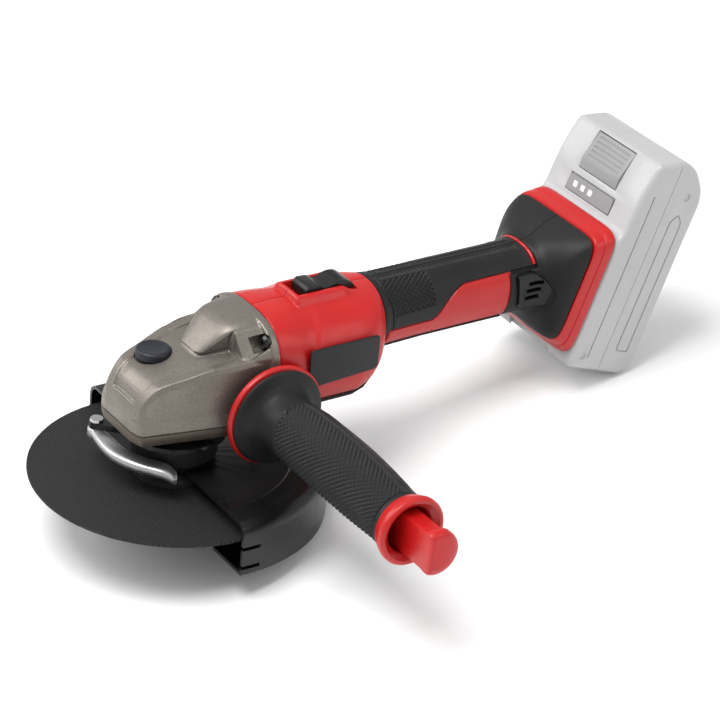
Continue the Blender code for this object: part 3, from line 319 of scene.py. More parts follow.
def grid_solid(name, outer, inner):
    """A closed slab between two grids of points of the same size."""
    rows, columns = len(outer), len(outer[0])
    verts = [p for row in outer for p in row] + [p for row in inner for p in row]
    base = rows * columns

    def at(i, j, side):
        return side * base + i * columns + j

    faces = []
    for i in range(rows - 1):
        for j in range(columns - 1):
            faces.append((at(i, j, 0), at(i, j + 1, 0), at(i + 1, j + 1, 0), at(i + 1, j, 0)))
            faces.append((at(i, j, 1), at(i + 1, j, 1), at(i + 1, j + 1, 1), at(i, j + 1, 1)))
    for i in range(rows - 1):
        faces.append((at(i, 0, 0), at(i + 1, 0, 0), at(i + 1, 0, 1), at(i, 0, 1)))
        last = columns - 1
        faces.append((at(i, last, 0), at(i, last, 1), at(i + 1, last, 1), at(i + 1, last, 0)))
    for j in range(columns - 1):
        faces.append((at(0, j, 0), at(0, j, 1), at(0, j + 1, 1), at(0, j + 1, 0)))
        faces.append((at(rows - 1, j, 0), at(rows - 1, j + 1, 0), at(rows - 1, j + 1, 1), at(rows - 1, j, 1)))
    return mesh_from(name, verts, faces)


def loft_mesh(rings):
    """A closed body through rings of equal length, capped at both ends."""
    count = len(rings[0])
    verts = [p for ring in rings for p in ring]
    faces = [tuple(range(count)), tuple((len(rings) - 1) * count + k for k in range(count))[::-1]]
    for i in range(len(rings) - 1):
        for j in range(count):
            k = (j + 1) % count
            faces.append((i * count + j, i * count + k, (i + 1) * count + k, (i + 1) * count + j))
    return mesh_from("loft", verts, faces)


# How a shape made along Z is turned to lie along another axis
AXIS_TURNS = {"Z": Matrix.Identity(3), "X": Matrix.Rotation(math.pi / 2, 3, "Y"),
              "-Y": Matrix.Rotation(math.pi / 2, 3, "X")}


def rod_mesh(radius, low, high, at=(0, 0, 0), axis="Z", sides=48):
    """A round bar along an axis."""
    circle = [(radius * math.cos(TAU * k / sides), radius * math.sin(TAU * k / sides)) for k in range(sides)]
    return loft_mesh([[Vector(at) + AXIS_TURNS[axis] @ Vector((x, y, height)) for x, y in circle]
                      for height in (low, high)])


def box_mesh(low, high):
    ring = [(low[0], low[1]), (high[0], low[1]), (high[0], high[1]), (low[0], high[1])]
    return loft_mesh([[(x, y, z) for x, y in ring] for z in (low[2], high[2])])


def prism_mesh(outline, low, high, axis=2):
    """An outline drawn out along one axis. It is given in the other two axes' order."""
    rings = []
    for depth in (low, high):
        ring = []
        for a, b in outline:
            point = [a, b]
            point.insert(axis, depth)
            ring.append(point)
        rings.append(ring)
    return loft_mesh(rings)


def turned_mesh(profile, steps=128, at=(0, 0, 0), axis="Z", closed=True):
    """A closed profile of (radius, height) turned round an axis."""
    verts, faces, count = [], [], len(profile)
    for k in range(steps):
        c, s = math.cos(TAU * k / steps), math.sin(TAU * k / steps)
        verts += [Vector(at) + AXIS_TURNS[axis] @ Vector((r * c, r * s, h)) for r, h in profile]
    for k in range(steps):
        for j in range(count if closed else count - 1):
            m, n = (j + 1) % count, (k + 1) % steps
            faces.append((k * count + j, k * count + m, n * count + m, n * count + j))
    mesh = mesh_from("turned", verts, faces)
    bm = bmesh.new()
    bm.from_mesh(mesh)
    bmesh.ops.remove_doubles(bm, verts=bm.verts, dist=0.0005)
    bmesh.ops.recalc_face_normals(bm, faces=bm.faces)
    bm.to_mesh(mesh)
    bm.free()
    return mesh


def round_corners(points, radius, steps=4):
    """The closed outline with each corner replaced by a short curve. radius is one number or one a corner."""
    result, count = [], len(points)
    for k, corner in enumerate(points):
        r = radius[k] if isinstance(radius, (list, tuple)) else radius
        before, here, after = (Vector(points[(k + d) % count]) for d in (-1, 0, 1))
        reach = min(r, (before - here).length * 0.48, (after - here).length * 0.48)
        if reach < 0.02:
            result.append(tuple(here))
            continue
        start, end = here + (before - here).normalized() * reach, here + (after - here).normalized() * reach
        for step in range(steps + 1):
            t = step / steps
            result.append(tuple(start * (1 - t) ** 2 + here * 2 * t * (1 - t) + end * t * t))
    return result


def merge_meshes(meshes):
    """One mesh that holds all of them, still overlapping."""
    bm = bmesh.new()
    for mesh in meshes:
        bm.from_mesh(mesh)
    merged = bpy.data.meshes.new("merged")
    bm.to_mesh(merged)
    bm.free()
    return merged


def fuse(obj, voxel):
    """Welds overlapping solids into one skin with soft fillets, as a casting has."""
    modifier(obj, "REMESH", mode="VOXEL", voxel_size=voxel, adaptivity=0.0)
    modifier(obj, "SMOOTH", iterations=3, factor=0.5)
    return settle(obj)


# ---------------------------------------------------------------- body skin

def skin_point(x, angle, inset, side):
    """A point on the body: angle 90 is the top seam, 0 the side and -90 the bottom."""
    z, lean, half_width, half_height, below, above = (smooth(SKIN, x, column) for column in range(1, 7))
    angle, lean = math.radians(angle), math.radians(lean)
    c, s = math.cos(angle), math.sin(angle)
    power = 2 / (above if s > 0 else below)
    across = (half_width - inset) * max(0, c) ** power
    rise = (half_height - inset) * math.copysign(abs(s) ** power, s)
    return Vector((x + rise * math.sin(lean), side * (across + SEAM), z + rise * math.cos(lean)))


def skin_solid(name, xs, top, bottom, outer, inner, side, steps, edge=0.6, shape=None):
    """A curved slab on the body, its edges rounded. top, bottom and outer may be functions; shape moves points."""
    outside, inside = [], []
    for x in xs:
        high, low = (end(x) if callable(end) else end for end in (top, bottom))
        row_out, row_in = [], []
        for k in range(steps + 1):
            angle = high + (low - high) * k / steps
            arc = 0.33 * min(k, steps - k) * abs(high - low) / steps
            near = min(abs(x - xs[0]), abs(xs[-1] - x), arc)
            rounding = edge - math.sqrt(max(0.0, edge ** 2 - max(0.0, edge - near) ** 2))
            level = (outer(x, angle) if callable(outer) else outer) + rounding
            point = skin_point(x, angle, level, side)
            row_out.append(shape(point, x, angle, side) if shape else point)
            row_in.append(skin_point(x, angle, inner, side))
        outside.append(row_out)
        inside.append(row_in)
    return grid_solid(name, outside, inside)


def knurl(u, v, along, across):
    """Height, 0 to 1, of a field of small staggered beads."""
    wave = math.cos(TAU * u / along) * math.cos(TAU * v / across)
    return ease(-0.45, 0.75, wave)


# ---------------------------------------------------------------- barrel and shells

def soft_max(a, b, radius):
    """The larger of two heights, with a fillet where they meet."""
    near = max(0.0, radius - abs(a - b)) / radius
    return max(a, b) + near * near * radius / 4


def surround(point, x, angle, side):
    """The raised pad round the thumb switch, its slot, and the soft step where the barrel widens."""
    across, z = abs(point.y), point.z
    if angle > 20 and across < 24:
        crest = 90.8 - 3.8 * ease(90.5, 99.0, x) - 8.0 * (1 - ease(59.5, 63.4,
                                                                   x)) - 6.0 * ease(98.0, 102.5, x)
        flank = crest - 1.2 * max(0.0, across - 10.2) - 0.05 * across ** 2 / 9
        raised = soft_max(z, flank, 1.2)
        if across < 7.5 and 64.4 < x < 101.2:
            raised = 85.4
        point.z = raised
    waist = 62.0 + 0.35 * (z - 72.0)
    narrow = (1 - ease(waist, waist + 4.0, x)) * ease(-10.0, 6.0, angle) * (1 - ease(62.0, 74.0, angle))
    point.y -= side * 1.1 * narrow
    return point


def barrel(side):
    xs = spaced(41.4, 60.2, 0.9) + spaced(60.4, 64.35, 0.4) + [64.45] + spaced(65.2, 100.4, 0.8)
    xs += [101.15, 101.25] + spaced(101.6, 112.0, 0.5)
    return skin_solid("barrel", xs, 90, -90, 0.0, 2.3, side, 110, 0.35, surround)


def grip_edge(x):
    """The angle of the soft grip's lower edge at x."""
    return smooth(GRIP_EDGE, x)


for side, hand in ((LEFT, "left"), (RIGHT, "right")):
    core = skin_solid("core", spaced(111.9, 197.0, 2.0), 90, -90, 2.25, 4.5, side, 60, 0.1)
    # The core under the foot is black rubber instead of the shell's red so the vent's slots read dark: painted
    # shade inside the slots
    vent_shade_core = skin_solid("core", spaced(197.1, 226.0, 1.5), 90, -90, 2.25, 4.5, side, 60, 0.1)
    inner = draft(f"vent_shade_core_{hand}", vent_shade_core)
    finish_piece(inner, SOFT, "tool", ())
    panel = skin_solid("panel", spaced(117.5, FOOT_SIDE - GAP, 0.8), lambda x: grip_edge(x) - 1.5,
                       TRIM_EDGE + 2, 0.05, 3.2, side, 40, 0.5)
    ring = skin_solid("ring", spaced(GRIP_REAR, GRIP_REAR + 1.2, 0.3), 90, 38, 0.15, 3.2, side, 40, 0.35)
    shell = draft(f"shell_{hand}", merge_meshes([barrel(side), core, panel, ring]))
    finish_piece(shell, RED, "tool", [f"housing_{hand}"])


def grip_level(x, angle):
    """How far the soft grip's surface lies under the skin: a texture patch on the side, ridges on top."""
    arc = 0.33 * angle
    level = 0.0
    top_line = 74.0
    front = 116.8 + 3.6 * ease(-12, 60, 60 - angle)
    patch = ease(front, front + 0.6, x) * (1 - ease(145.4, 146.2, x))
    patch *= ease(2.0, 4.5, angle - 5 - 0.2 * max(0.0, x - 136))
    patch *= 1 - ease(top_line, top_line + 3, angle)
    level += 0.6 * (1 - ease(0.0, 0.5, abs(x - front + 1.2)))
    if patch > 0:
        level += patch * (0.9 - 0.8 * knurl(x, arc, 3.6, 3.0))
    crest = ease(75.5, 77.0, angle) * (1 - ease(84.0, 86.0, angle)) * ease(116.5, 118.0, x)
    if crest > 0 and x < 206:
        level += crest * (0.55 - 0.5 * max(0.0, math.sin(TAU * (x + 0.5 * arc) / 2.3)))
    return level


for side, hand in ((LEFT, "left"), (RIGHT, "right")):
    xs = spaced(GRIP_FRONT + 0.3, 145.0, 0.3) + spaced(145.5, GRIP_REAR - GAP, 0.5)
    grip = draft(f"grip_skin_{hand}", skin_solid("grip", xs, 90, grip_edge, grip_level, 1.9, side, 120, 0.7))
    finish_piece(grip, SOFT, "tool", [f"grip_overmould_{hand}"])


# ---------------------------------------------------------------- flared foot

VENT = [(198, 77), (208, 78.5), (214.5, 73), (217.5, 68), (215, 58.5), (200, 58)]
VENT_INNER, VENT_OUTER = 8.0, 60.0


def vent_prism(side, grow):
    """A block through the foot's side with the vent's outline, grown by a share of its size."""
    middle = Vector((sum(x for x, _ in VENT) / len(VENT), sum(z for _, z in VENT) / len(VENT)))
    corners = [middle + (Vector(p) - middle) * (1 + grow) for p in VENT]
    outline = round_corners(corners, 2.0, 4)
    return prism_mesh(outline, *sorted((side * VENT_INNER, side * VENT_OUTER)), axis=1)


for side, hand in ((LEFT, "left"), (RIGHT, "right")):
    flare = skin_solid("flare", spaced(GRIP_REAR + 1.6, 225.8, 0.5), 90, -90, 0.0, 1.9, side, 90, 0.5)
    tongue = skin_solid("tongue", spaced(FOOT_SIDE, 212.5, 0.8), 30, -90, 0.0, 1.85, side, 50, 0.5)
    foot = draft(f"foot_skin_{hand}", flare)
    subtract(foot, [tongue], "UNION")
    subtract(foot, [vent_prism(side, 0.0)])
    finish_piece(foot, SOFT, "tool", [f"foot_overmould_{hand}"], angle=40)
    plan = [(195.0, 19.9), (204.0, 20.4), (210.0, 21.6), (220.0, 28.4), (220.0, 22.0), (203.0, 17.0),
            (195.0, 16.5)]
    slab = prism_mesh([(x, side * y) for x, y in plan], 50, 85, 2)
    plate = draft(f"vent_plate_{hand}", slab)
    subtract(plate, [vent_prism(side, -0.045)], "INTERSECT")
    for k in range(3):
        slot = box_mesh((-3.9, -20, -1.15), (3.9, 20, 1.15))
        slot.transform(Matrix.Translation((208.8 - 0.9 * k, side * 25, 72.4 - 4.2 * k))
                       @ Matrix.Rotation(math.radians(-8), 4, "Y"))
        subtract(plate, [slot])
    modifier(plate, "BEVEL", width=0.6, segments=3, limit_method="ANGLE", angle_limit=math.radians(50))
    settle(plate)
    finish_piece(plate, BLACK, "tool", [f"vent_cover_{hand}"])


# ---------------------------------------------------------------- gear head

# x, rim half width, crown z, panel half width, panel z, shoulder half width, shoulder z
HEAD_ROWS = [
    (-34.8, 13.0, 43.6, 8.0, 43.1, 12.0, 41.8),
    (-32.6, 20.2, 51.6, 10.3, 51.0, 17.6, 48.2),
    (-28.0, 21.6, 59.8, 12.7, 58.9, 19.3, 56.0),
    (-22.0, 22.8, 64.2, 14.1, 63.2, 20.9, 61.4),
    (-10.0, 25.4, 66.8, 17.1, 65.9, 23.6, 64.6),
    (6.0, 28.6, 70.6, 21.3, 69.8, 27.0, 68.6),
    (20.0, 31.0, 72.6, 21.5, 71.8, 29.4, 70.0),
    (37.8, 31.6, 73.6, 21.0, 72.8, 30.0, 70.6),
]


def head_ring(x):
    """The head's outline at x with a softened shoulder."""
    foot, top, panel, panel_z, shoulder, shoulder_z = (smooth(HEAD_ROWS, x, k) for k in range(1, 7))
    half = [(foot, CASE_BOTTOM), (foot - 1.0, CASE_BOTTOM + 7.0), (shoulder, shoulder_z - 1.5),
            (shoulder - 1.4, shoulder_z + 1.6), (panel, panel_z),
            (panel * 0.55, top - 0.26 * (top - panel_z)), (0, top)]
    points = []
    for (y0, z0), (y1, z1) in zip(half, half[1:]):
        points += [(y0 + (y1 - y0) * k / 6, z0 + (z1 - z0) * k / 6) for k in range(6)]
    right = [(x, y, z) for y, z in points] + [(x, 0, top)]
    return right + [(x, -y, z) for x, y, z in reversed(right[:-1])]


def flange_outline(inset):
    points, count = [], 96
    for k in range(count):
        c, s = math.cos(TAU * k / count), math.sin(TAU * k / count)
        power = 2 / (2.8 if s > 0 else 3.6)
        points.append(((32.0 - inset) * math.copysign(abs(c) ** power, c),
                       MOTOR_Z + (26.6 - inset) * math.copysign(abs(s) ** power, s)))
    return points


def flange_mesh(low, high):
    return loft_mesh([[(x, y, z) for y, z in flange_outline(d)]
                      for x, d in ((low, 0.6), (low + 0.6, 0.0), (high - 0.6, 0.0), (high, 0.6))])


BULGE_ROWS = [  # x, half width, top, height of its side edge: the hump over the motor's pinion
    (3.2, 6.6, 69.8, 69.2), (5.6, 8.9, 72.4, 70.4), (12.0, 11.6, 79.0, 75.6), (18.0, 14.0, 84.0, 81.0),
    (22.0, 15.2, 85.8, 82.8), (30.0, 16.4, 87.2, 83.6), (38.0, 17.0, 87.8, 83.8)]


def bulge_ring(x):
    half, top, edge = (smooth(BULGE_ROWS, x, k) for k in (1, 2, 3))
    points = []
    for k in range(33):
        turn = math.pi * k / 32
        across = math.copysign(abs(math.cos(turn)) ** 0.8, math.cos(turn))
        points.append((x, half * across, edge + (top - edge) * math.sin(turn)))
    return points + [(x, -half, 58.0), (x, half, 58.0)]


def head_top(x, y):
    """Height of the head's top at a point, between crown and panel edge."""
    top, panel, panel_z = (smooth(HEAD_ROWS, x, k) for k in (2, 3, 4))
    return top - (top - panel_z) * min(1.5, abs(y) / panel)


def sink_panel(head):
    """Presses the shallow recess into the head's top."""
    mesh = head.data
    for vert, normal in [(v, v.normal.copy()) for v in mesh.vertices]:
        x, y, z = vert.co
        if not -34 < x < 22 or z > head_top(x, y) + 0.9 or normal.z < 0.2:
            continue
        inside = min(smooth(HEAD_ROWS, x, 3) - 0.5 - abs(y), x + 32.4, 21.0 - x)
        vert.co -= normal * 1.2 * ease(0.0, 0.6, inside)


def gear_head():
    """The head's outer form as one solid, with no gear chamber: the pieces inside pass through it."""
    solids = [loft_mesh([head_ring(x) for x in spaced(-34.7, 37.7, 1.2)]),
              loft_mesh([bulge_ring(x) for x in spaced(3.2, 38.0, 1.2)]),
              flange_mesh(CASE_FLANGE - 1.0, CASE_REAR)]
    for side in (LEFT, RIGHT):
        low, high = sorted((side * 24.0, side * 33.75))
        solids.append(box_mesh((26.8, low, CASE_BOTTOM + 0.6), (CASE_REAR - 0.7, high, 51.0)))
        front = [(22.0, y, z) for y, z in ((0, 60), (27.6, 60), (27.6, 70.6), (25.4, 72.4), (16.0, 82.6),
                                           (0, 85))]
        rear = [(38.0, y, z) for y, z in ((0, 60), (31.0, 60), (31.0, 72.0), (29.4, 75.6), (19.0, 84.2),
                                          (0, 87.2))]
        solids.append(loft_mesh([[(x, side * y, z) for x, y, z in ring] for ring in (front, rear)]))
    head = fuse(draft("gear_head", merge_meshes(solids)), 0.46)
    sink_panel(head)
    subtract(head, [rod_mesh(BUTTON_R + 0.35, 62.6, 90, (BUTTON_X, BUTTON_Y, 0))])
    for side in (LEFT, RIGHT):
        for across, up in (UPPER_SCREW, LOWER_SCREW):
            subtract(head, [rod_mesh(4.6, 27.8, SCREW_SEAT, (0, side * across, up), "X", 40)])
        recess = [(27.2, 71.8), (27.8, 80.6), (21.0, 81.8)]
        start = [(y + 0.8, z - 2.5) for y, z in recess]
        wedge = loft_mesh([[(24.5, side * y, z) for y, z in start],
                           [(SCREW_SEAT - 1.0, side * y, z) for y, z in recess]])
        subtract(head, [wedge])
        pocket = [[(x, side * y, z) for y, z in ((deep, low), (27.0, low), (27.0, high), (deep, high))]
                  for x, deep, low, high in ((5.0, 7.6, 69.3, 69.4), (21.8, 11.6, 72.0, 83.4))]
        subtract(head, [loft_mesh(pocket)])
    subtract(head, [box_mesh((-50, -50, 0), (60, 50, CASE_BOTTOM))])
    modifier(head, "SMOOTH", iterations=1, factor=0.3)
    settle(head)
    return finish_piece(head, CAST, "tool", ["gear_case"], angle=60)


gear_head()


def rim_band():
    """The darker rim under the head, which closes it from below."""
    rows = [(-34.8, 13.0), (-32.4, 20.2), (-28.0, 21.6), (-10.0, 25.4), (6.0, 28.6), (20.0, 31.0),
            (36.4, 31.6)]
    xs = spaced(-34.8, 36.4, 1.2)
    outline = [(x, -smooth(rows, x)) for x in xs] + [(x, smooth(rows, x)) for x in reversed(xs)]
    rings = [[(x * k, y * k, z) for x, y in outline]
             for k, z in ((0.965, 31.5), (0.985, 32.2), (0.998, 36.6), (0.99, 37.3))]
    solids = [loft_mesh(rings), rod_mesh(21.4, 33.0, 37.0), rod_mesh(17.5, 14.2, 35.0)]
    band = draft("head_rim", solids[0])
    subtract(band, solids[1:], "UNION")
    subtract(band, [rod_mesh(16.5, 33.0, 50.0), rod_mesh(8.8, 10.0, 40.0)])
    for x, y in ((-26.0, 15.5), (-26.0, -15.5), (22.0, 25.0), (22.0, -25.0)):
        subtract(band, [rod_mesh(3.7, 28.0, 33.4, (x, y, 0), sides=24),
                        rod_mesh(1.9, 28, 40, (x, y, 0), sides=16)])
    finish_piece(band, BRONZE, "tool", ["bearing_cover"])


rim_band()


def lock_button():
    profile = [(0.0, BUTTON_TOP - 0.55), (5.4, BUTTON_TOP - 0.45), (6.6, BUTTON_TOP - 0.25),
               (7.0, BUTTON_TOP - 0.02),
               (7.7, BUTTON_TOP), (8.6, BUTTON_TOP - 0.4), (9.2, BUTTON_TOP - 1.1),
               (BUTTON_R, BUTTON_TOP - 1.6),
               (BUTTON_R, 65.0), (7.6, 65.0), (7.6, 67.4), (0, 67.4)]
    button = draft("lock_cap", turned_mesh(profile, 96, (BUTTON_X, BUTTON_Y, 0), closed=False))
    finish_piece(button, BLUE_BLACK, "spindle_lock", ["lock_button"])


lock_button()


# ---------------------------------------------------------------- disc, guard and lever

def disc():
    half, radius = 0.8, 75.0
    profile = [(11.4, -half), (26.0, -half), (radius - 0.3, -half), (radius, -0.4), (radius, 0.4),
               (radius - 0.3, half),
               (radius - 2.0, half), (26.5, half), (26.0, half), (11.4, half)]
    wheel = draft("cutting_wheel", turned_mesh(profile, 192))
    finish_piece(wheel, DISC, "spindle", ["grinding_disc"])


disc()


def guard():
    """Half cover: rounded shoulder with a bead inside it, lower lip, and a collar on the neck."""
    bend = 7.0
    outside = [(GUARD_R - bend + bend * math.sin(TAU / 4 * k / 8),
                GUARD_TOP - bend + bend * math.cos(TAU / 4 * k / 8))
               for k in range(9)]
    inside = [(GUARD_R - bend + (bend - GUARD_SHEET) * math.sin(TAU / 4 * k / 8),
               GUARD_TOP - bend + (bend - GUARD_SHEET) * math.cos(TAU / 4 * k / 8)) for k in range(8, -1, -1)]
    bead = [(58.0, GUARD_TOP - 0.7), (60.5, GUARD_TOP - 0.7), (61.5, GUARD_TOP), (64.5, GUARD_TOP),
            (66.0, GUARD_TOP - 0.5),
            (70.0, GUARD_TOP - 0.3)]
    profile = [(18.5, GUARD_TOP - 0.7)] + bead + outside[1:] + [
        (GUARD_R, GUARD_BOTTOM + 1.0), (GUARD_R - 1.0, GUARD_BOTTOM), (GUARD_LIP_R + 0.5, GUARD_BOTTOM),
        (GUARD_LIP_R, GUARD_BOTTOM + 0.6), (GUARD_LIP_R + 0.5, GUARD_BOTTOM + GUARD_SHEET),
        (GUARD_R - GUARD_SHEET, GUARD_BOTTOM + GUARD_SHEET)] + inside + [(18.5, GUARD_TOP - GUARD_SHEET)]
    cover = draft("guard_cover", turned_mesh(profile, 192))
    half = box_mesh((-100, -100, -30), (GUARD_FRONT, 100, 30))
    half.transform(Matrix.Rotation(GUARD_SKEW, 4, "Z"))
    subtract(cover, [half])
    neck = turned_mesh([(27.0, 27.0), (27.0, 24.5), (19.8, 23.5), (19.8, GUARD_TOP - GUARD_SHEET),
                        (17.9, GUARD_TOP - GUARD_SHEET), (17.9, 27.0)], 96)
    subtract(cover, [neck], "UNION")
    for z in (-3.0, -14.0):
        subtract(cover, [box_mesh((-12.0, -84, z), (4.0, -77, z + 2.0))])
    modifier(cover, "BEVEL", width=0.45, segments=2, limit_method="ANGLE", angle_limit=math.radians(60))
    settle(cover)
    finish_piece(cover, GUARD, "guard", ["wheel_guard"], angle=30)


guard()


def lever():
    """Cast lever with a soft section, a round knuckle and a turned-down tip."""
    path = [(143, 39.5, 16.6, 3.2), (152, 36.4, 16.6, 3.8), (164, 34.0, 16.6, 4.1), (178, 32.5, 16.6, 4.2),
            (192, 31.2, 16.5, 4.2), (206, 29.9, 16.4, 4.2), (219, 29.0, 16.1, 4.3), (230, 28.8, 15.3, 4.5),
            (237, 29.2, 13.9, 4.6), (241, 29.8, 12.2, 4.4)]
    rings = []
    for degrees in spaced(143, 242.5, 1.5):
        radius, height, half = (smooth(path, degrees, k) for k in (1, 2, 3))
        half = (half + 0.9) * (1 - 0.3 * ease(238, 243, degrees))
        angle = math.radians(degrees)
        ring = []
        for k in range(28):
            c, s = math.cos(TAU * k / 28), math.sin(TAU * k / 28)
            out = half * math.copysign(abs(c) ** 0.72, c)
            rise = 3.1 * math.copysign(abs(s) ** 0.72, s)
            ring.append(((radius + out) * math.cos(angle), (radius + out) * math.sin(angle), height + rise))
        rings.append(ring)
    x, y = LEVER_PIVOT
    section = [(0, 13.8), (4.0, 13.8), (4.6, 14.4), (4.6, 18.6), (4.0, 19.4), (0, 19.4)]
    knuckle = turned_mesh(section, 64, (x, y, 0), closed=False)
    arm = fuse(draft("lever_arm", merge_meshes([loft_mesh(rings), knuckle])), 0.4)
    subtract(arm, [rod_mesh(2.5, 10, 25, (x, y, 0), sides=32)])
    finish_piece(arm, BRIGHT, "lever", ["guard_lever"], angle=60)


lever()


# ---------------------------------------------------------------- side handle, along -Y

HANDLE_ROWS = [(36.4, 20.0, 0.0), (40.0, 20.2, 0.0), (40.3, 25.6, 0.0), (41.0, 26.2, 0.0), (42.0, 25.6, 0.0),
               (42.8, 22.6, 0.0), (44.0, 19.6, 0.1), (48.0, 16.7, 0.2), (54.0, 15.9, 0.4), (72.0, 16.9, 0.9),
               (100.0, 17.2, 0.9), (122.0, 16.7, 0.6), (138.0, 15.8, 0.3), (146.0, 15.3, 0.1),
               (153.2, 15.5, 0.0)]
STRIP_ANGLE = 45  # the smooth strip's middle, up and to the rear


def handle_level(y, degrees):
    """Depth of the texture: beads with a groove round them, then a smooth band, then fine ridges."""
    from_strip = abs((degrees - STRIP_ANGLE + 180) % 360 - 180)
    start = 58.0 + 4.0 * ease(60, 180, from_strip)
    inside = min(y - start, 150.6 - y, (from_strip - 30.0) * 0.29)
    if inside > 0:
        groove = 0.6 * (1 - ease(0.0, 0.5, abs(inside - 0.5)))
        field = ease(1.0, 1.6, inside)
        return groove + field * (0.9 - 0.85 * knurl(y, degrees, 3.2, 10.0))
    ridged = ease(59.0, 61.0, y) * (1 - ease(148.0, 150.0, y)) * (1 - ease(12.0, 14.0, from_strip))
    return ridged * (0.55 - 0.45 * abs(math.sin(math.pi * y / 2.4)))


def handle_grip():
    ys = spaced(36.4, 44.0, 0.4) + spaced(44.5, 153.2, 0.4)
    rings, around = [], 288
    for y in ys:
        radius, swell = smooth(HANDLE_ROWS, y, 1), smooth(HANDLE_ROWS, y, 2)
        ring = []
        for k in range(around):
            degrees = 360 * k / around
            r = radius - handle_level(y, degrees)
            a = math.radians(degrees)
            ring.append((HANDLE_X + swell + r * math.cos(a), -y, HANDLE_Z + swell + r * math.sin(a)))
        rings.append(ring)
    grip = draft("handle_skin", loft_mesh(rings))
    where = (HANDLE_X, 0, HANDLE_Z)
    subtract(grip, [rod_mesh(4.1, 30, 74, where, "-Y", 24), rod_mesh(8.2, 30, 40.4, where, "-Y", 32),
                    rod_mesh(12.0, 124, 158, where, "-Y", 64),
                    rod_mesh(13.7, HANDLE_END - 17, 158, where, "-Y", 64)])
    finish_piece(grip, SOFT, "side_handle", ["handle_grip"], angle=50)


handle_grip()


def handle_rings():
    where = (HANDLE_X, 0, HANDLE_Z)
    flange = [(20.5, 36.4), (26.6, 36.4), (27.3, 36.8), (27.5, 37.6), (27.5, 38.6), (27.1, 39.4),
              (26.4, 39.75), (20.5, 39.75)]
    ring = draft("flange_ring", turned_mesh(flange, 160, where, "-Y"))
    finish_piece(ring, RED, "side_handle", ["handle_flange_ring"])
    e = HANDLE_END
    lip = round_corners([(15.2, e - 0.9), (15.6, e - 0.3), (17.2, e), (18.4, e - 1.2), (18.4, e - 3.8),
                         (16.2, e - 9.4), (13.4, e - 9.4),
                         (13.4, e - 16.5), (12.5, e - 16.5), (12.5, e - 3.4)], 0.5, 3)
    end = draft("end_ring", turned_mesh(lip, 128, where, "-Y"))
    finish_piece(end, RED, "side_handle", ["handle_end_ring"])


handle_rings()


def key():
    """The stowed key: flat shank, round head with one flat side, softened edges."""
    radius, flat, thick, half_width = 12.0, -5.0, 4.0, 10.3
    spread = math.acos(flat / radius)
    head = [(radius * math.cos(a), radius * math.sin(a)) for a in (spread * (k / 24 - 1) for k in range(49))]
    shank = [(min(x, thick), max(-half_width, min(z, half_width))) for x, z in head]

    def at(points, y, shrink=1.0):
        return [(HANDLE_X + max(flat, x * shrink), -y, HANDLE_Z + z * shrink) for x, z in points]

    blend = [((a[0] + b[0]) / 2, (a[1] + b[1]) / 2) for a, b in zip(shank, head)]
    rings = [at(shank, 128), at(shank, 176.6), at(blend, 178.4), at(head, 179.6), at(head, 182.2),
             at(head, 183.6, 0.97),
             at(head, 184.6, 0.88), at(head, 185.2, 0.7)]
    piece = draft("parked_key", loft_mesh(rings))
    modifier(piece, "BEVEL", width=0.5, segments=3, limit_method="ANGLE", angle_limit=math.radians(50))
    settle(piece)
    finish_piece(piece, RED, "key", ["stowed_key"], angle=40)


key()


# ---------------------------------------------------------------- slide switch and plate

def slider():
    outline = [(70.0, 86.9), (70.0, 90.6), (71.8, 93.2), (78.6, 92.7), (81.4, 90.4), (84.0, 90.4),
               (89.4, 92.9), (94.6, 92.7),
               (98.8, 90.2), (100.4, 86.9)]
    profile = round_corners(outline, [0.3, 1.2, 1.6, 1.6, 1.6, 1.6, 2.4, 2.4, 2.6, 0.5], 5)
    body = draft("switch_thumb", prism_mesh(profile, -6.6, 6.6, axis=1))
    for k in range(4):
        x = 88.6 + 1.7 * k
        subtract(body, [box_mesh((x, -5.4, 92.4), (x + 0.7, 5.4, 96.0))])
    modifier(body, "BEVEL", width=0.5, segments=3, limit_method="ANGLE", angle_limit=math.radians(50))
    settle(body)
    finish_piece(body, BLACK, "switch", ["switch_slider"], angle=40)


slider()


def plate():
    outline = [(57.5, 50.6), (100.0, 53.0), (100.0, 72.6), (57.2, 72.6)]
    body = draft("blank_plate", prism_mesh(round_corners(outline, 3.0, 6), -34.2, -33.2, axis=1))
    modifier(body, "BEVEL", width=0.4, segments=3, limit_method="ANGLE", angle_limit=math.radians(60))
    settle(body)
    finish_piece(body, BLACK, "tool", ["name_plate"], angle=40)


plate()


# ---------------------------------------------------------------- collar and battery

def rounded_frame(half_width, half_height, squareness, count=120):
    points = []
    for k in range(count):
        c, s = math.cos(TAU * k / count), math.sin(TAU * k / count)
        points.append((half_width * math.copysign(abs(c) ** (2 / squareness), c),
                       half_height * math.copysign(abs(s) ** (2 / squareness), s)))
    return points


def collar():
    rows = [(-11.9, -36.7, 35.6, 31.0), (-11.4, -36.7, 36.0, 31.5), (-10.7, -36.7, 36.2, 31.9),
            (-6.6, -36.8, 36.4, 33.9),
            (-6.3, -36.8, 36.1, 33.7), (-5.8, -36.8, 36.1, 34.0), (-5.5, -36.9, 36.5, 34.5),
            (-1.4, -37.0, 36.7, 36.7),
            (-0.5, -37.0, 36.6, 36.8), (0.0, -37.0, 36.1, 36.3)]
    rings = [[(w, y, middle + u) for y, u in rounded_frame(half_width, half_height, 8.0)]
             for w, middle, half_width, half_height in rows]
    body = draft("battery_frame", loft_mesh(rings))
    subtract(body, [loft_mesh([[(w, y, -37.7 + u) for y, u in rounded_frame(29, 26, 6, 60)]
                               for w in (-14, 2)])])
    finish_piece(body, RED, "tool", ["battery_collar"], SEAT, 40)


collar()

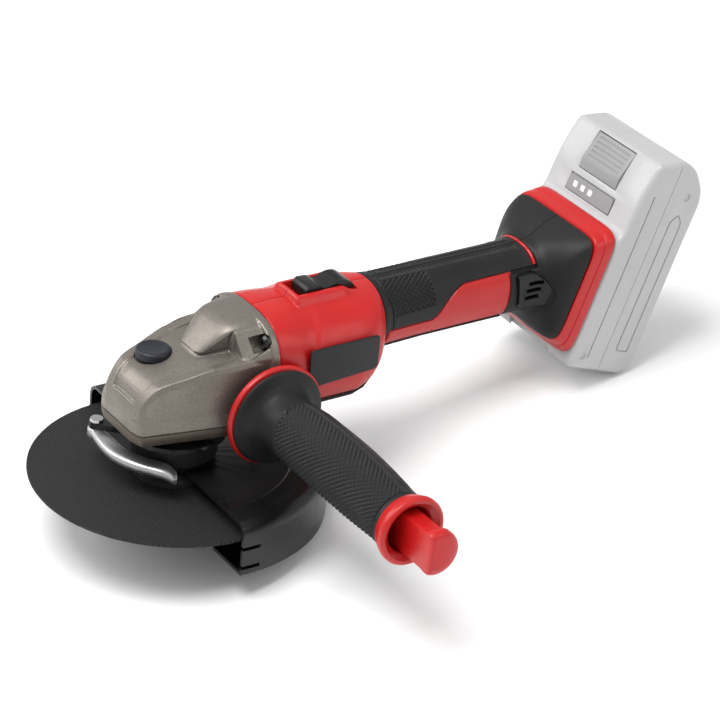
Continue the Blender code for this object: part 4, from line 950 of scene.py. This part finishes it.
SIDE_VIEW = [(0.6, -76), (3, BATTERY_BOTTOM), (43, BATTERY_BOTTOM), (47.5, -74), (BATTERY_REAR, 26), (46, 33),
             (37.4, 42.5), (27.4, BATTERY_TOP), (9.6, 41.6), (8.4, 39.8), (4, 22), (3, 0), (0.6, -4)]


def battery_block():
    """The battery's outline from its side view, with rounded side edges."""
    middle, radius = Vector((24.0, -17.0)), 3.0
    profile = [Vector(p) for p in round_corners(SIDE_VIEW, [2, 3, 3, 4, 5, 4, 4, 5, 2, 3, 8, 3, 3], 4)]
    turns = [math.pi / 2 * k / 6 for k in range(7)]
    sections = [(-BATTERY_HALF + radius * (1 - math.sin(t)), radius * (1 - math.sin(math.pi / 2 - t)))
                for t in reversed(turns)]
    sections += [(-y, shrink) for y, shrink in reversed(sections)]
    rings = []
    for y, shrink in sorted(sections):
        scale = Vector((1 - shrink / 26, 1 - shrink / 62))
        rings.append([(middle.x + (p.x - middle.x) * scale.x, y, middle.y + (p.y - middle.y) * scale.y)
                      for p in profile])
    return loft_mesh(rings)


def battery_part(name, low, high):
    body = draft(name, battery_block())
    subtract(body, [box_mesh((low, -60, -100), (high, 60, 70))], "INTERSECT")
    subtract(body, [box_mesh((13.0, -35.0, -76.0), (45.5, 35.0, 32.0))])
    return body


def battery():
    front = battery_part("battery_front", -1, 24.0)
    subtract(front, [box_mesh((-2, -18, -82), (8.6, 18, -12)), box_mesh((3.4, -23, -82), (8.6, 23, -12)),
                     box_mesh((-2, -16.4, 17.4), (11.6, 16.4, 40)),
                     box_mesh((-2, -19.4, 3.4), (4.6, 19.4, 13.6))])
    rear = battery_part("battery_rear", 24.3, 60)
    for side in (LEFT, RIGHT):
        y0, y1 = sorted((side * 36.1, side * 40))
        subtract(front, [box_mesh((12.6, y0, -72.0), (13.4, y1, 24.0)),
                         rod_mesh(2.2, y0, y1, (9.0, 0, -71.5), "-Y", 24)])
        outline = [(31.0, -66.0), (40.0, -66.0), (40.0, 12.0), (35.5, 17.0), (31.0, 12.0)]
        outer = prism_mesh(round_corners(outline, 1.5, 3), y0, y1, axis=1)
        shrunk = [(w + (35.5 - w) * 0.2, u + (-26 - u) * 0.02) for w, u in outline]
        inner = prism_mesh(round_corners(shrunk, 1.2, 3), y0 - 1, y1 + 1, axis=1)
        groove = draft("groove", outer)
        subtract(groove, [inner])
        subtract(rear, [groove.data])
        bpy.data.objects.remove(groove)
        subtract(rear, [rod_mesh(2.3, y0, y1, (36.0, 0, 27.0), "-Y", 24)])
    for half in (front, rear):
        modifier(half, "BEVEL", width=0.4, segments=2, limit_method="ANGLE", angle_limit=math.radians(50))
        settle(half)
    finish_piece(front, PALE, "battery", ["battery_case_front"], SEAT, 35)
    finish_piece(rear, PALE, "battery", ["battery_case_rear"], SEAT, 35)


battery()


def latch():
    outline = round_corners([(3.6, 17.8), (3.4, 24.0), (8.6, 39.4), (9.1, 39.4), (9.1, 17.8)],
                            [0.4, 2, 0.3, 0.2, 0.2], 4)
    body = draft("latch_panel", prism_mesh(outline, -16.0, 16.0, axis=1))
    for k in range(5):
        u = 25.6 + 2.7 * k
        w = 3.4 + max(0.0, (u - 24.0) / 15.4 * 5.2)
        subtract(body, [box_mesh((w - 2, -13.0, u), (w + 0.5, 13.0, u + 1.2))])
    modifier(body, "BEVEL", width=0.35, segments=2, limit_method="ANGLE", angle_limit=math.radians(50))
    settle(body)
    finish_piece(body, PALE_DARK, "battery_latch", ["battery_latch_button"], SEAT, 40)


latch()


def gauge():
    outline = [(-18.8, 4.0), (18.8, 4.0), (18.8, 13.0), (-18.8, 13.0)]
    body = draft("gauge_panel", prism_mesh(round_corners(outline, 1.5, 4), 3.0, 4.1, 0))
    finish_piece(body, PALE_DARK, "battery", ["battery_gauge_panel"], SEAT)
    for number, (y, u) in enumerate(((12.6, 8.6), (6.2, 8.6), (-0.2, 8.6)), 1):
        square = [(y - 1.7, u - 1.7), (y + 1.7, u - 1.7), (y + 1.7, u + 1.7), (y - 1.7, u + 1.7)]
        window = draft(f"gauge_light_{number}", prism_mesh(round_corners(square, 0.6, 3), 2.95, 3.4, 0))
        finish_piece(window, WINDOW, "battery", (), SEAT)


gauge()


# ---------------------------------------------------------------- remaining CAD nodes

# CAD nodes with a softened edge, besides the screws, whose names end in 1 to 4
BEVELLED = ("guard_band", "lever_pin", "motor_bracket", "handle_damper", "clamping_nut")

for name, node in frame["nodes"].items():
    slot_name = next((part["material_slot"] for part in frame["record"]["subparts"] if part["node"] == name),
                     None)
    node.data.materials.clear()
    node.data.materials.append(SOFT if name == "guard_band" else FINISH.get(slot_name, DARK))
    node.data.shade_smooth()
    node.data.set_sharp_from_angle(angle=math.radians(35))
    if name.endswith(tuple("1234")) or name in BEVELLED:
        modifier(node, "BEVEL", width=0.25 * MM, segments=2, limit_method="ANGLE",
                 angle_limit=math.radians(40))


# ---------------------------------------------------------------- floor, light and camera

def studio():
    floor = draft("floor", mesh_from("floor", [(-3, -3, -0.0006), (3, -3, -0.0006), (3, 3, -0.0006),
                                               (-3, 3, -0.0006)],
                                     [(0, 1, 2, 3)]))
    n = Nodes("floor")
    shade = n.spread(n.noise(400.0, 2.0), 0.3, 0.7, 0.0, 1.0)
    floor.data.materials.append(n.wire(n.mix(shade, (0.90, 0.90, 0.90), (0.92, 0.92, 0.92)), Roughness=0.9))
    world = bpy.data.worlds.new("studio")
    world.use_nodes = True
    world.node_tree.nodes["Background"].inputs["Color"].default_value = (1, 1, 1, 1)
    world.node_tree.nodes["Background"].inputs["Strength"].default_value = 0.62
    bpy.context.scene.world = world
    for name, place, size, power in (("key", (-0.5, 0.1, 1.9), 1.1, 34), ("fill", (0.9, -1.3, 1.0), 1.0, 5),
                                     ("rim", (-0.9, 1.1, 1.0), 0.8, 9)):
        light = bpy.data.lights.new(name, "AREA")
        light.size, light.energy = size, power
        lamp = bpy.data.objects.new(name, light)
        bpy.context.scene.collection.objects.link(lamp)
        lamp.location = place
        lamp.rotation_euler = Vector(place).to_track_quat("Z", "Y").to_euler()


studio()


def camera():
    """A long lens from the near front, above the disc. Rotation vector and place are in the tool's frame."""
    turn = Vector((2.02756696, -0.559808609, 0.441324587))
    offset = Vector((-96.8856224, 56.0032623, 1623.39571))
    rotation = Matrix.Rotation(turn.length, 3, turn.normalized())
    place = -(rotation.transposed() @ offset) * MM
    flip = Matrix(((1, 0, 0), (0, -1, 0), (0, 0, -1)))
    lens = bpy.data.cameras.new("camera")
    lens.lens, lens.sensor_width, lens.clip_end = 157.336, 36, 20
    view = bpy.data.objects.new("camera", lens)
    bpy.context.scene.collection.objects.link(view)
    view.matrix_world = TOOL @ (Matrix.Translation(place) @ (rotation.transposed() @ flip).to_4x4())
    bpy.context.scene.camera = view


camera()
bpy.context.scene.view_settings.view_transform = "Standard"
